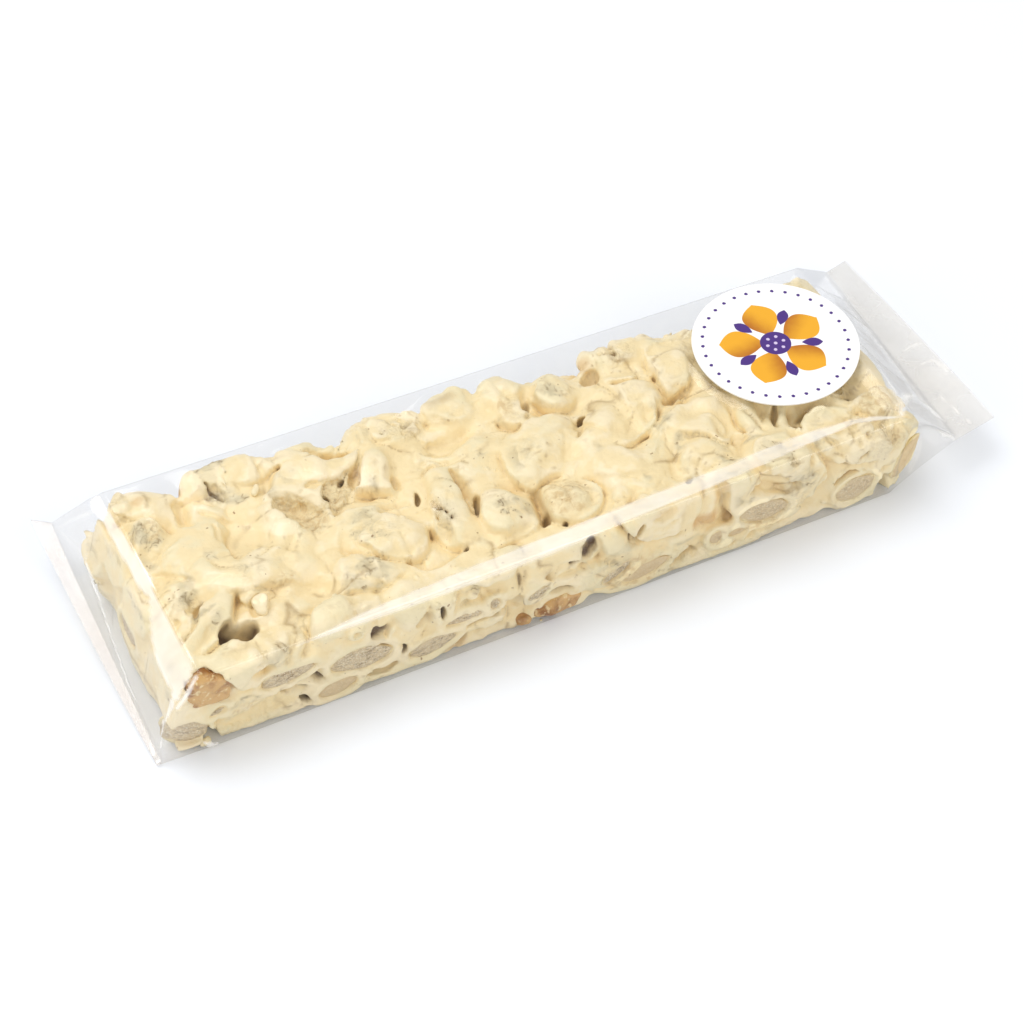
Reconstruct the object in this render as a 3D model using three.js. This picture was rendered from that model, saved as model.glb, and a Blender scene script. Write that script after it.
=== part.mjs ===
// Nougat bar with whole almonds, sealed in a clear bag that has a round label on top.
// Millimetres, +Z up, the bar along X. The bag's underside is flat and stands on Z = 0.
//
// The bag is one closed solid out to its film: a box-shaped body folded round the bar, a
// slanted left end with a short seal, and a right end that closes to a flat seal. Both
// seals run on past the far side as an ear. The lumps of the bar press the top film up.
import * as THREE from 'three';

// ---------- Driving dimensions ----------

const BODY = {
  height: 29.6, // underside to the folded top edges
  nearSideLeft: -33.0, // the two sides at the left crease ...
  farSideLeft: 33.2,
  nearSideRight: -32.0, // ... and at the right crease: the bag narrows a little
  farSideRight: 30.0,
  edgeRadius: 1.6,
  leftCreaseTop: -101.0, // where the top folds down to the left end
  leftCreaseFoot: -99.0,
  rightCreaseTop: 100.0,
  rightCreaseFoot: 96.5,
};

// A flat facet between the top and the left end, narrow at its far end.
const LEFT_FACET = {
  footX: -103.0,
  nearTopX: -107.6,
  farTopX: -104.0,
  nearTopZ: 22.5,
  farTopZ: 27.0,
  near: -32.8,
  far: 35.0,
};

const LEFT_SEAL = {
  rootX: -112.6, // where the two films meet
  tipX: -114.0,
  tipSkew: -3.0, // the seal is wider at its far end
  near: -32.2,
  rootFar: 43.5,
  tipFar: 47.0,
  rise: 10.5, // the far ear stands this far above the near end
};

const RIGHT_SEAL = {
  rootX: 116.6,
  tipX: 130.4,
  tipSkew: -3.6,
  rootNear: -31.0,
  tipNear: -28.0,
  rootFar: 38.5,
  tipFar: 44.5,
  rootZ: 11.8, // underside of the seal where the films meet
  tipZ: 11.2,
  drop: -4.0, // the far ear hangs this far below the near end
  gusset: 6.5, // the near side folds in this far between crease and seal
};

const SEAL_THICKNESS = 0.8;

const LABEL = { x: 80.0, y: 6.4, radius: 22.5, thickness: 0.4, gap: 0.3 };

// Between the lumps the top film sags to this depth below the folded edges.
const SAG_DEPTH = 1.9;
const LUMP_CLEARANCE = 0.4; // the highest lumps stay this far below the folded edges
const EDGE_BAND = 7.0; // width along the folded edges where the film straightens out
const LABEL_MARGIN = 3.0; // the film is flat this far round the label

// The largest almonds under the top film: centre, half length, half width and turn in degrees.
const LUMPS = [
  { x: -92, y: 26, half: 8, wide: 6, turn: 10 },
  { x: -72, y: 26, half: 11, wide: 7, turn: 0 },
  { x: -93, y: -14, half: 11, wide: 6, turn: 40 },
  { x: -80, y: -3, half: 15, wide: 7, turn: -8 },
  { x: -59, y: 8, half: 10, wide: 9, turn: -50 },
  { x: -60, y: -25, half: 12, wide: 6, turn: 5 },
  { x: -50, y: -16, half: 10, wide: 6, turn: 0 },
  { x: -39, y: -8, half: 11, wide: 8, turn: 10 },
  { x: -48, y: 20, half: 12, wide: 6, turn: -8 },
  { x: -33, y: 14, half: 7, wide: 7, turn: 0 },
  { x: -22, y: -4, half: 11, wide: 6, turn: 80 },
  { x: -9, y: -13, half: 10, wide: 8, turn: -10 },
  { x: -8, y: 24, half: 9, wide: 6, turn: 0 },
  { x: 7, y: -16, half: 9, wide: 7, turn: 0 },
  { x: 8, y: 1, half: 11, wide: 9, turn: 30 },
  { x: 8, y: 22, half: 8, wide: 7, turn: 60 },
  { x: 20, y: 18, half: 8, wide: 6, turn: 70 },
  { x: 30, y: 5, half: 12, wide: 7, turn: 50 },
  { x: 28, y: -14, half: 11, wide: 8, turn: 0 },
  { x: 42, y: 8, half: 8, wide: 8, turn: 0 },
  { x: 54, y: 16, half: 12, wide: 7, turn: 42 },
  { x: 47, y: -10, half: 9, wide: 7, turn: 30 },
  { x: 64, y: -14, half: 10, wide: 6, turn: 60 },
];

// ---------- Steps of the loft ----------

const BODY_STEPS = 56;
const WEDGE_STEPS = 5;
const FACET_STEPS = 2;
const SEAL_STEPS = 3;
const FLAT_COLUMNS = 14; // columns across the top, and across the underside, between the corners
const SIDE_ROWS = 4; // rows up each side, between the corners
const CORNER_SHARE = 0.3; // the most of a side's height that one rounded corner takes

const { lerp, smoothstep, degToRad } = THREE.MathUtils;

// ---------- Cross-sections ----------

// One section is a rounded rectangle with its underside at x, near..far in Y and low..high in Z.
// lean moves its top along X, skew moves its far end along X, topSkew only its far top edge,
// lift moves its far end along Z, crown only its far top edge, and tuck folds the near side in.
function section(values) {
  const plain = { lean: 0, skew: 0, topSkew: 0, lift: 0, crown: 0, tuck: 0, sag: 0 };
  return { ...plain, corner: BODY.edgeRadius, ...values };
}

function between(from, to, share) {
  const mixed = {};
  for (const key of Object.keys(from)) {
    mixed[key] = lerp(from[key], to[key], share);
  }
  return mixed;
}

const leftCrease = section({
  x: BODY.leftCreaseFoot,
  lean: BODY.leftCreaseTop - BODY.leftCreaseFoot,
  near: BODY.nearSideLeft,
  far: BODY.farSideLeft,
  low: 0,
  high: BODY.height,
});

const rightCrease = section({
  x: BODY.rightCreaseFoot,
  lean: BODY.rightCreaseTop - BODY.rightCreaseFoot,
  near: BODY.nearSideRight,
  far: BODY.farSideRight,
  low: 0,
  high: BODY.height,
});

const leftFacet = section({
  x: LEFT_FACET.footX,
  lean: LEFT_FACET.nearTopX - LEFT_FACET.footX,
  topSkew: LEFT_FACET.farTopX - LEFT_FACET.nearTopX,
  near: LEFT_FACET.near,
  far: LEFT_FACET.far,
  low: 0,
  high: LEFT_FACET.nearTopZ,
  crown: LEFT_FACET.farTopZ - LEFT_FACET.nearTopZ,
});

const leftRoot = section({
  x: LEFT_SEAL.rootX,
  near: LEFT_SEAL.near,
  far: LEFT_SEAL.rootFar,
  low: 0.2,
  high: 0.2 + 1.5 * SEAL_THICKNESS,
  lift: LEFT_SEAL.rise,
  corner: 0.5 * SEAL_THICKNESS,
});

const leftTip = section({
  x: LEFT_SEAL.tipX,
  skew: LEFT_SEAL.tipSkew,
  near: LEFT_SEAL.near,
  far: LEFT_SEAL.tipFar,
  low: 0.2,
  high: 0.2 + SEAL_THICKNESS,
  lift: LEFT_SEAL.rise,
  corner: 0.4 * SEAL_THICKNESS,
});

const rightRoot = section({
  x: RIGHT_SEAL.rootX,
  near: RIGHT_SEAL.rootNear,
  far: RIGHT_SEAL.rootFar,
  low: RIGHT_SEAL.rootZ,
  high: RIGHT_SEAL.rootZ + 1.5 * SEAL_THICKNESS,
  corner: 0.5 * SEAL_THICKNESS,
});

const rightTip = section({
  x: RIGHT_SEAL.tipX,
  skew: RIGHT_SEAL.tipSkew,
  near: RIGHT_SEAL.tipNear,
  far: RIGHT_SEAL.tipFar,
  low: RIGHT_SEAL.tipZ,
  high: RIGHT_SEAL.tipZ + SEAL_THICKNESS,
  lift: RIGHT_SEAL.drop,
  corner: 0.4 * SEAL_THICKNESS,
});

function listSections() {
  const sections = [];
  for (let i = 0; i < SEAL_STEPS; i += 1) {
    sections.push(between(leftTip, leftRoot, i / SEAL_STEPS));
  }
  for (let i = 0; i < WEDGE_STEPS; i += 1) {
    sections.push(between(leftRoot, leftFacet, i / WEDGE_STEPS));
  }
  for (let i = 0; i < FACET_STEPS; i += 1) {
    sections.push(between(leftFacet, leftCrease, i / FACET_STEPS));
  }
  for (let i = 0; i <= BODY_STEPS; i += 1) {
    const middle = between(leftCrease, rightCrease, i / BODY_STEPS);
    middle.sag = 1;
    sections.push(middle);
  }
  for (let i = 1; i <= WEDGE_STEPS; i += 1) {
    const share = i / WEDGE_STEPS;
    const wedge = between(rightCrease, rightRoot, share);
    wedge.tuck = RIGHT_SEAL.gusset * Math.sin(Math.PI * share);
    sections.push(wedge);
  }
  for (let i = 1; i <= SEAL_STEPS; i += 1) {
    sections.push(between(rightRoot, rightTip, i / SEAL_STEPS));
  }
  return sections;
}

// ---------- Relief of the top film ----------

// 1 on the crown of an almond, falling to 0 away from it.
function lumpCover(x, y) {
  let cover = 0;
  for (const lump of LUMPS) {
    const turn = degToRad(lump.turn);
    const along = Math.cos(turn) * (x - lump.x) + Math.sin(turn) * (y - lump.y);
    const across = Math.cos(turn) * (y - lump.y) - Math.sin(turn) * (x - lump.x);
    const distance = (along / lump.half) ** 2 + (across / lump.wide) ** 2;
    cover = Math.max(cover, Math.exp(-0.7 * distance));
  }
  return cover;
}

// How far the top film lies below the folded edges.
function filmSag(x, y, near, far) {
  const toSide = Math.min(y - near, far - y);
  const toEnd = Math.min(x - BODY.leftCreaseTop, BODY.rightCreaseTop - x);
  const inside = smoothstep(Math.min(toSide, toEnd), 0, EDGE_BAND);
  const open = lerp(SAG_DEPTH, LUMP_CLEARANCE, lumpCover(x, y));
  const fromLabel = Math.hypot(x - LABEL.x, y - LABEL.y) - LABEL.radius;
  const free = smoothstep(fromLabel, 0.3 * LABEL_MARGIN, LABEL_MARGIN);
  const nearLabel = smoothstep(-fromLabel, -LABEL_MARGIN, 0);
  return Math.max(inside * lerp(LUMP_CLEARANCE, open, free), nearLabel * LUMP_CLEARANCE);
}

// ---------- The loft ----------

// Shares of a side's length where its points stand, closer together at the rounded corners.
function sharesAlong(corner, length, columns) {
  const end = Math.min(corner / length, CORNER_SHARE);
  const shares = [0, 0.5 * end];
  for (let i = 0; i <= columns; i += 1) {
    shares.push(lerp(end, 1 - end, i / columns));
  }
  shares.push(1 - 0.5 * end);
  return shares; // the next side starts at share 1
}

// Points round one section, anticlockwise seen from +X, on the sharp rectangle.
function sharpOutline(part) {
  const width = part.far - part.near;
  const height = part.high - part.low;
  const acrossShares = sharesAlong(part.corner, width, FLAT_COLUMNS);
  const upShares = sharesAlong(part.corner, height, SIDE_ROWS);
  return [
    ...acrossShares.map((share) => [part.near + width * share, part.low]),
    ...upShares.map((share) => [part.far, part.low + height * share]),
    ...acrossShares.map((share) => [part.far - width * share, part.high]),
    ...upShares.map((share) => [part.near, part.high - height * share]),
  ];
}

// Moves a point of the sharp rectangle onto the rounded one.
function roundedPoint(part, y, z) {
  const innerY = THREE.MathUtils.clamp(y, part.near + part.corner, part.far - part.corner);
  const innerZ = THREE.MathUtils.clamp(z, part.low + part.corner, part.high - part.corner);
  const reach = Math.hypot(y - innerY, z - innerZ);
  const scale = part.corner / reach;
  return [innerY + (y - innerY) * scale, innerZ + (z - innerZ) * scale];
}

function sectionPoints(part) {
  return sharpOutline(part).map(([sharpY, sharpZ]) => {
    const [y, z] = roundedPoint(part, sharpY, sharpZ);
    const up = (z - part.low) / (part.high - part.low);
    const across = (y - part.near) / (part.far - part.near);
    const x = part.x + (part.lean + part.topSkew * across) * up + part.skew * across;
    const onTop = sharpZ === part.high;
    const sag = onTop ? part.sag * filmSag(x, y, part.near, part.far) : 0;
    const fold = part.tuck * Math.sin(Math.PI * up) * (1 - smoothstep(across, 0, 0.5));
    const lift = part.lift * across ** 1.5 + part.crown * across * up;
    return new THREE.Vector3(x, y + fold, z - sag + lift);
  });
}

// Triangles that close one end of the loft.
function endTriangles(points, offset, facesLeft) {
  const flat = points.map((point) => new THREE.Vector2(point.y, point.z));
  return THREE.ShapeUtils.triangulateShape(flat, []).map(([a, b, c]) => {
    const corners = facesLeft ? [c, b, a] : [a, b, c];
    return corners.map((corner) => corner + offset);
  });
}

function loftGeometry(sections) {
  const rings = sections.map(sectionPoints);
  const around = rings[0].length;
  const triangles = [];
  for (let ring = 0; ring + 1 < rings.length; ring += 1) {
    for (let k = 0; k < around; k += 1) {
      const next = (k + 1) % around;
      const a = ring * around + k;
      const b = ring * around + next;
      const c = (ring + 1) * around + next;
      const d = (ring + 1) * around + k;
      triangles.push([a, b, c], [a, c, d]);
    }
  }
  triangles.push(...endTriangles(rings[0], 0, true));
  triangles.push(...endTriangles(rings.at(-1), (rings.length - 1) * around, false));
  const geometry = new THREE.BufferGeometry().setFromPoints(rings.flat());
  geometry.setIndex(triangles.flat());
  geometry.computeVertexNormals();
  return geometry;
}

// ---------- Pieces ----------

function makeBag() {
  const filmAndNougat = new THREE.MeshStandardMaterial({
    color: 0xf3e3b8,
    roughness: 0.3,
    metalness: 0,
  });
  const mesh = new THREE.Mesh(loftGeometry(listSections()), filmAndNougat);
  mesh.name = 'bag';
  return mesh;
}

function makeLabel() {
  const glossPaper = new THREE.MeshStandardMaterial({
    color: 0xfafafa,
    roughness: 0.35,
    metalness: 0,
  });
  const disc = new THREE.CylinderGeometry(LABEL.radius, LABEL.radius, LABEL.thickness, 72);
  const mesh = new THREE.Mesh(disc, glossPaper);
  mesh.name = 'label';
  mesh.rotation.x = Math.PI / 2;
  const seat = BODY.height - LUMP_CLEARANCE;
  mesh.position.set(LABEL.x, LABEL.y, seat + LABEL.gap + 0.5 * LABEL.thickness);
  return mesh;
}

// The origin stands under the middle of everything, on the surface that the bag rests on.
const group = new THREE.Group();
group.add(makeBag(), makeLabel());
const extent = new THREE.Box3().setFromObject(group);
const middle = extent.getCenter(new THREE.Vector3());
group.position.set(-middle.x, -middle.y, -extent.min.z);

export default group;
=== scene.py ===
"""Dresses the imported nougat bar: the nougat and its almonds, the clear bag and its label.

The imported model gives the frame. Lengths in the tables are millimetres in the bag's own
frame, whose origin is on the floor under the middle of the filled body, with X along the
bar and Y away from the camera. Blender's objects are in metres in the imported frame.
"""

import logging
import math
from collections.abc import Callable
from dataclasses import dataclass, field
from enum import Enum
from typing import NamedTuple

import bpy
import numpy as np
from bpy.types import Material, Node, NodeOutputs, NodeSocket as Socket, NodeTree, Object as Piece
from mathutils import Matrix, Vector


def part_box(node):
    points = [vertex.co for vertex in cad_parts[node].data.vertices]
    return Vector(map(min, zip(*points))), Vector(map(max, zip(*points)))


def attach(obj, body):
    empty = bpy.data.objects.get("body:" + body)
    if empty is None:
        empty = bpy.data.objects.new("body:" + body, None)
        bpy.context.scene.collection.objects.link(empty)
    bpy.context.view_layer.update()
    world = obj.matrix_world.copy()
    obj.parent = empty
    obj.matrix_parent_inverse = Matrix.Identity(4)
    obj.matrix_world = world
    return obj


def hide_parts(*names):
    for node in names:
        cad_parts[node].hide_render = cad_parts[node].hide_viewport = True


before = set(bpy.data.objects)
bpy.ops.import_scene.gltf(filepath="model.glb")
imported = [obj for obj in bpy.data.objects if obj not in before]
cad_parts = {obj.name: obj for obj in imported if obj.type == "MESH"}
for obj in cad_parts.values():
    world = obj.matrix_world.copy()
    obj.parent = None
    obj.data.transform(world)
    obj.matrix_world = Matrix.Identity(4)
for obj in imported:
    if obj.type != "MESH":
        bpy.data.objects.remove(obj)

LOG = logging.getLogger("nougat_bar")
MM = 0.001

Array = np.ndarray
Pair = tuple[float, float]
Triple = tuple[float, float, float]
Quad = tuple[float, float, float, float]
Window = tuple[slice, slice, slice]


# ---------------------------------------------------------------- shape of the bag


class Section(NamedTuple):
    """One cross-section of the bag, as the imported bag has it. See BagShape.sections."""

    x: float
    near: float
    far: float
    low: float
    high: float
    corner: float
    lean: float = 0.0
    skew: float = 0.0
    top_skew: float = 0.0
    lift: float = 0.0
    crown: float = 0.0
    tuck: float = 0.0
    sag: float = 0.0


class Lump(NamedTuple):
    """A large almond that presses the top film up."""

    x: float
    y: float
    half: float
    wide: float
    turn: float


def rows(kind: type, *table: tuple) -> tuple:
    """Makes one entry of that kind from each row of a table."""
    return tuple(kind(*row) for row in table)


PRESSING_LUMPS = rows(
    Lump,
    (-92, 26, 8, 6, 10), (-72, 26, 11, 7, 0), (-93, -14, 11, 6, 40), (-80, -3, 15, 7, -8),
    (-59, 8, 10, 9, -50), (-60, -25, 12, 6, 5), (-50, -16, 10, 6, 0), (-39, -8, 11, 8, 10),
    (-48, 20, 12, 6, -8), (-33, 14, 7, 7, 0), (-22, -4, 11, 6, 80), (-9, -13, 10, 8, -10),
    (-8, 24, 9, 6, 0), (7, -16, 9, 7, 0), (8, 1, 11, 9, 30), (8, 22, 8, 7, 60), (20, 18, 8, 6, 70),
    (30, 5, 12, 7, 50), (28, -14, 11, 8, 0), (42, 8, 8, 8, 0), (54, 16, 12, 7, 42), (47, -10, 9, 7, 30),
    (64, -14, 10, 6, 60),
)


def blend(low: Array, high: Array, share: Array) -> Array:
    """Mixes low and high by share."""
    return low + (high - low) * share


def smoothstep(value: Array, start: float, end: float) -> Array:
    """Smooth step from 0 at start to 1 at end."""
    share = np.clip((value - start) / (end - start), 0.0, 1.0)
    return share * share * (3.0 - 2.0 * share)


@dataclass
class BagShape:
    """The form of the sealed bag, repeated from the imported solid's named sizes."""

    height: float = 29.6
    near_left: float = -33.0
    far_left: float = 33.2
    near_right: float = -32.0
    far_right: float = 30.0
    edge_radius: float = 1.6
    left_crease: Pair = (-99.0, -101.0)
    right_crease: Pair = (96.5, 100.0)
    left_slope: Pair = (1.07, 1.0)
    slope_span: Pair = (-32.0, 66.0)
    facet_start: float = -105.0
    facet_slope: float = 1.35
    tuck_depth: float = 6.5
    seal_thickness: float = 0.8
    sag_depth: float = 1.9
    clearance: float = 0.4
    edge_band: float = 7.0
    label_x: float = 80.0
    label_y: float = 6.4
    label_radius: float = 22.5
    label_thickness: float = 0.4
    label_gap: float = 0.3
    label_margin: float = 3.0
    left_tip: float = -117.0

    def key_sections(self) -> dict[str, Section]:
        """The sections where the bag's form changes, by name."""
        thick, round_edge = self.seal_thickness, self.edge_radius
        foot, top = self.left_crease
        foot_right, top_right = self.right_crease
        return {
            "left_tip": Section(
                -114.0, -32.2, 47.0, 0.2, 0.2 + thick, 0.4 * thick, skew=-3.0, lift=10.5
            ),
            "left_root": Section(-112.6, -32.2, 43.5, 0.2, 0.2 + 1.5 * thick, 0.5 * thick, lift=10.5),
            "left_facet": Section(
                -103.0, -32.8, 35.0, 0.0, 22.5, round_edge, lean=-4.6, top_skew=3.6, crown=4.5
            ),
            "left_crease": Section(
                foot, self.near_left, self.far_left, 0.0, self.height, round_edge, lean=top - foot
            ),
            "right_crease": Section(
                foot_right, self.near_right, self.far_right, 0.0, self.height, round_edge,
                lean=top_right - foot_right,
            ),
            "right_root": Section(116.6, -31.0, 38.5, 11.8, 11.8 + 1.5 * thick, 0.5 * thick),
            "right_tip": Section(
                130.4, -28.0, 44.5, 11.2, 11.2 + thick, 0.4 * thick, skew=-3.6, lift=-4.0
            ),
        }

    def sections(self, body_steps: int, wedge_steps: int, seal_steps: int) -> list[Section]:
        """Sections from the left seal to the right seal.

        Args:
            body_steps: steps along the straight body.
            wedge_steps: steps along each slanted end.
            seal_steps: steps across each seal.

        Returns:
            The sections in order along X.
        """
        key = self.key_sections()
        plan = (
            ("left_tip", "left_root", seal_steps),
            ("left_root", "left_facet", wedge_steps),
            ("left_facet", "left_crease", max(2, wedge_steps // 3)),
            ("left_crease", "right_crease", body_steps),
            ("right_crease", "right_root", wedge_steps),
            ("right_root", "right_tip", seal_steps),
        )
        made = []
        for start, end, steps in plan:
            low, high = np.array(key[start]), np.array(key[end])
            for i in range(steps):
                share = i / steps
                part = Section(*blend(low, high, share))
                if start == "left_crease":
                    part = part._replace(sag=1.0)
                if start == "right_crease":
                    tuck = self.tuck_depth * math.sin(math.pi * share)
                    part = part._replace(tuck=tuck, sag=float(i == 0))
                made.append(part)
        made.append(key["right_tip"])
        return made

    def lump_cover(self, x: Array, y: Array) -> Array:
        """1 on the crown of a pressing almond, falling to 0 away from it."""
        cover = np.zeros(np.broadcast(x, y).shape)
        for lump in PRESSING_LUMPS:
            turn = math.radians(lump.turn)
            along = math.cos(turn) * (x - lump.x) + math.sin(turn) * (y - lump.y)
            across = math.cos(turn) * (y - lump.y) - math.sin(turn) * (x - lump.x)
            distance = (along / lump.half) ** 2 + (across / lump.wide) ** 2
            cover = np.maximum(cover, np.exp(-0.7 * distance))
        return cover

    def side_at(self, x: Array) -> tuple[Array, Array]:
        """The near and far sides' Y at x."""
        start, end = self.left_crease[0], self.right_crease[0]
        share = np.clip((x - start) / (end - start), 0, 1)
        return blend(self.near_left, self.near_right, share), blend(self.far_left, self.far_right, share)

    def sag(self, x: Array, y: Array) -> Array:
        """How far the top film lies below the folded edges at (x, y)."""
        near, far = self.side_at(x)
        to_side = np.minimum(y - near, far - y)
        to_end = np.minimum(x - self.left_crease[1], self.right_crease[1] - x)
        inside = smoothstep(np.minimum(to_side, to_end), 0.0, self.edge_band)
        open_film = blend(self.sag_depth, self.clearance, self.lump_cover(x, y))
        from_label = np.hypot(x - self.label_x, y - self.label_y) - self.label_radius
        free = smoothstep(from_label, 0.3 * self.label_margin, self.label_margin)
        near_label = smoothstep(-from_label, -self.label_margin, 0.0)
        return np.maximum(inside * blend(self.clearance, open_film, free), near_label * self.clearance)

    def top(self, x: Array, y: Array) -> Array:
        """Height of the film over (x, y), slanted ends included."""
        body = self.height - self.sag(x, y)
        start, width = self.slope_span
        out_left = self.left_crease[1] - x
        left = self.height - out_left * blend(*self.left_slope, np.clip((y - start) / width, 0, 1))
        facet = self.height - out_left * self.facet_slope + 1.0
        left = np.where(x < self.facet_start, np.minimum(left, facet), left)
        right = self.height - (x - self.right_crease[1])
        return np.minimum(np.minimum(body, left), right)


BAG = BagShape()


class Place:
    """Turns millimetres of the bag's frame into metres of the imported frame."""

    def __init__(self, shape: BagShape) -> None:
        """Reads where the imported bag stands.

        Args:
            shape: the bag's sizes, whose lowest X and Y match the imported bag's.
        """
        low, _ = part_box("bag")
        self.offset = np.array([low.x / MM - shape.left_tip, low.y / MM - shape.near_left, 0.0])

    def metres(self, points: Array) -> Array:
        """Points of the bag's frame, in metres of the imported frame."""
        return (np.asarray(points, float) + self.offset) * MM


PLACE = Place(BAG)


# ---------------------------------------------------------------- meshes from arrays


def mesh_object(name: str, points: Array, faces: Array, smooth: bool = True) -> Piece:
    """Makes an object from points in the bag's frame and faces of equal size.

    Args:
        name: the object's name.
        points: (n, 3) millimetres.
        faces: (m, 3) or (m, 4) vertex numbers.
        smooth: whether faces are shaded smooth.

    Returns:
        The new object, linked to the scene.
    """
    faces = np.asarray(faces, np.int32)
    corners = faces.shape[1]
    mesh = bpy.data.meshes.new(name)
    mesh.vertices.add(len(points))
    mesh.vertices.foreach_set("co", PLACE.metres(points).astype(np.float32).ravel())
    mesh.loops.add(faces.size)
    mesh.loops.foreach_set("vertex_index", faces.ravel())
    mesh.polygons.add(len(faces))
    mesh.polygons.foreach_set("loop_start", np.arange(0, faces.size, corners, dtype=np.int32))
    mesh.polygons.foreach_set("loop_total", np.full(len(faces), corners, np.int32))
    mesh.polygons.foreach_set("use_smooth", np.full(len(faces), smooth))
    mesh.update(calc_edges=True)
    mesh.validate()
    made = bpy.data.objects.new(name, mesh)
    bpy.context.scene.collection.objects.link(made)
    return made


def vertex_points(piece: Piece) -> Array:
    """A piece's vertices in millimetres of the bag's frame."""
    flat = np.zeros(len(piece.data.vertices) * 3, np.float32)
    piece.data.vertices.foreach_get("co", flat)
    return flat.reshape(-1, 3) / MM - PLACE.offset


def set_attribute(piece: Piece, name: str, values: Array) -> None:
    """Stores one number for each vertex, which the piece's material reads by name."""
    layer = piece.data.attributes.new(name, "FLOAT", "POINT")
    layer.data.foreach_set("value", np.asarray(values, np.float32))


def thin_out(piece: Piece, most: int) -> None:
    """Merges the flattest faces until the piece has at most that many triangles.

    Args:
        piece: a mesh object.
        most: the most triangles it may keep.
    """
    count = sum(len(p.vertices) - 2 for p in piece.data.polygons)
    if count <= most:
        return
    reducer = piece.modifiers.new("thin", "DECIMATE")
    reducer.ratio = most / count
    graph = bpy.context.evaluated_depsgraph_get()
    thinned = bpy.data.meshes.new_from_object(piece.evaluated_get(graph))
    piece.modifiers.clear()
    old = piece.data
    piece.data = thinned
    bpy.data.meshes.remove(old)
    thinned.polygons.foreach_set("use_smooth", np.ones(len(thinned.polygons), bool))


# ---------------------------------------------------------------- the voxel field


WHOLE = (slice(None),) * 3


@dataclass
class Grid:
    """A regular grid of sample points.

    low: the lowest corner in millimetres.
    high: the highest corner in millimetres.
    step: the distance between samples.
    """

    low: Triple
    high: Triple
    step: float

    def __post_init__(self) -> None:
        """Works out the sample lines."""
        ends = zip(self.low, self.high)
        self.shape = tuple(int(round((high - low) / self.step)) + 1 for low, high in ends)
        self.lines = [
            (np.arange(n) * self.step + low).astype(np.float32) for n, low in zip(self.shape, self.low)
        ]

    def window(self, centre: Triple, reach: float) -> Window:
        """The slices of the samples within reach of centre along each axis."""
        parts = []
        for axis in range(3):
            start = int(np.floor((centre[axis] - reach - self.low[axis]) / self.step))
            end = int(np.ceil((centre[axis] + reach - self.low[axis]) / self.step)) + 1
            parts.append(slice(max(start, 0), max(min(end, self.shape[axis]), 0)))
        return tuple(parts)

    def points(self, part: Window = WHOLE) -> tuple[Array, ...]:
        """X, Y and Z of a window's samples, ready to broadcast."""
        x, y, z = (line[s] for line, s in zip(self.lines, part))
        return x[:, None, None], y[None, :, None], z[None, None, :]


def lattice_noise(grid: Grid, cell: float, seed: int) -> Array:
    """Smooth seeded noise on a grid, about -1 to 1.

    Args:
        grid: where to sample it.
        cell: the size of its blobs in millimetres.
        seed: the seed of its random draws.

    Returns:
        One value for each sample of the grid.
    """
    draws = np.random.default_rng(seed)
    weights = []
    for line, low in zip(grid.lines, grid.low):
        place = (line - low) / cell + 1.0
        whole = np.floor(place).astype(int)
        t = (place - whole).astype(np.float32)
        matrix = np.zeros((len(place), whole.max() + 4), np.float32)
        each = np.arange(len(place))
        matrix[each, whole - 1] = (1 - t) ** 3 / 6
        matrix[each, whole] = (3 * t**3 - 6 * t**2 + 4) / 6
        matrix[each, whole + 1] = (-3 * t**3 + 3 * t**2 + 3 * t + 1) / 6
        matrix[each, whole + 2] = t**3 / 6
        weights.append(matrix)
    values = draws.uniform(-1, 1, [m.shape[1] for m in weights]).astype(np.float32) * 2.4
    values = np.tensordot(weights[0], values, (1, 0))
    values = np.tensordot(values, weights[1], (1, 1)).transpose(0, 2, 1)
    return np.tensordot(values, weights[2], (2, 1))


def plane_noise(u: Array, v: Array, cell: float, seed: int) -> Array:
    """Smooth seeded noise at any places of a plane, about -1 to 1."""
    count = 64
    lattice = np.random.default_rng(seed).uniform(-1.5, 1.5, (count, count))
    across, up = u / cell + 16.0 * count, v / cell + 16.0 * count
    i, j = np.floor(across).astype(int), np.floor(up).astype(int)
    s, t = smoothstep(across - i, 0.0, 1.0), smoothstep(up - j, 0.0, 1.0)
    low = blend(lattice[i % count, j % count], lattice[(i + 1) % count, j % count], s)
    high = blend(lattice[i % count, (j + 1) % count], lattice[(i + 1) % count, (j + 1) % count], s)
    return blend(low, high, t)


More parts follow.
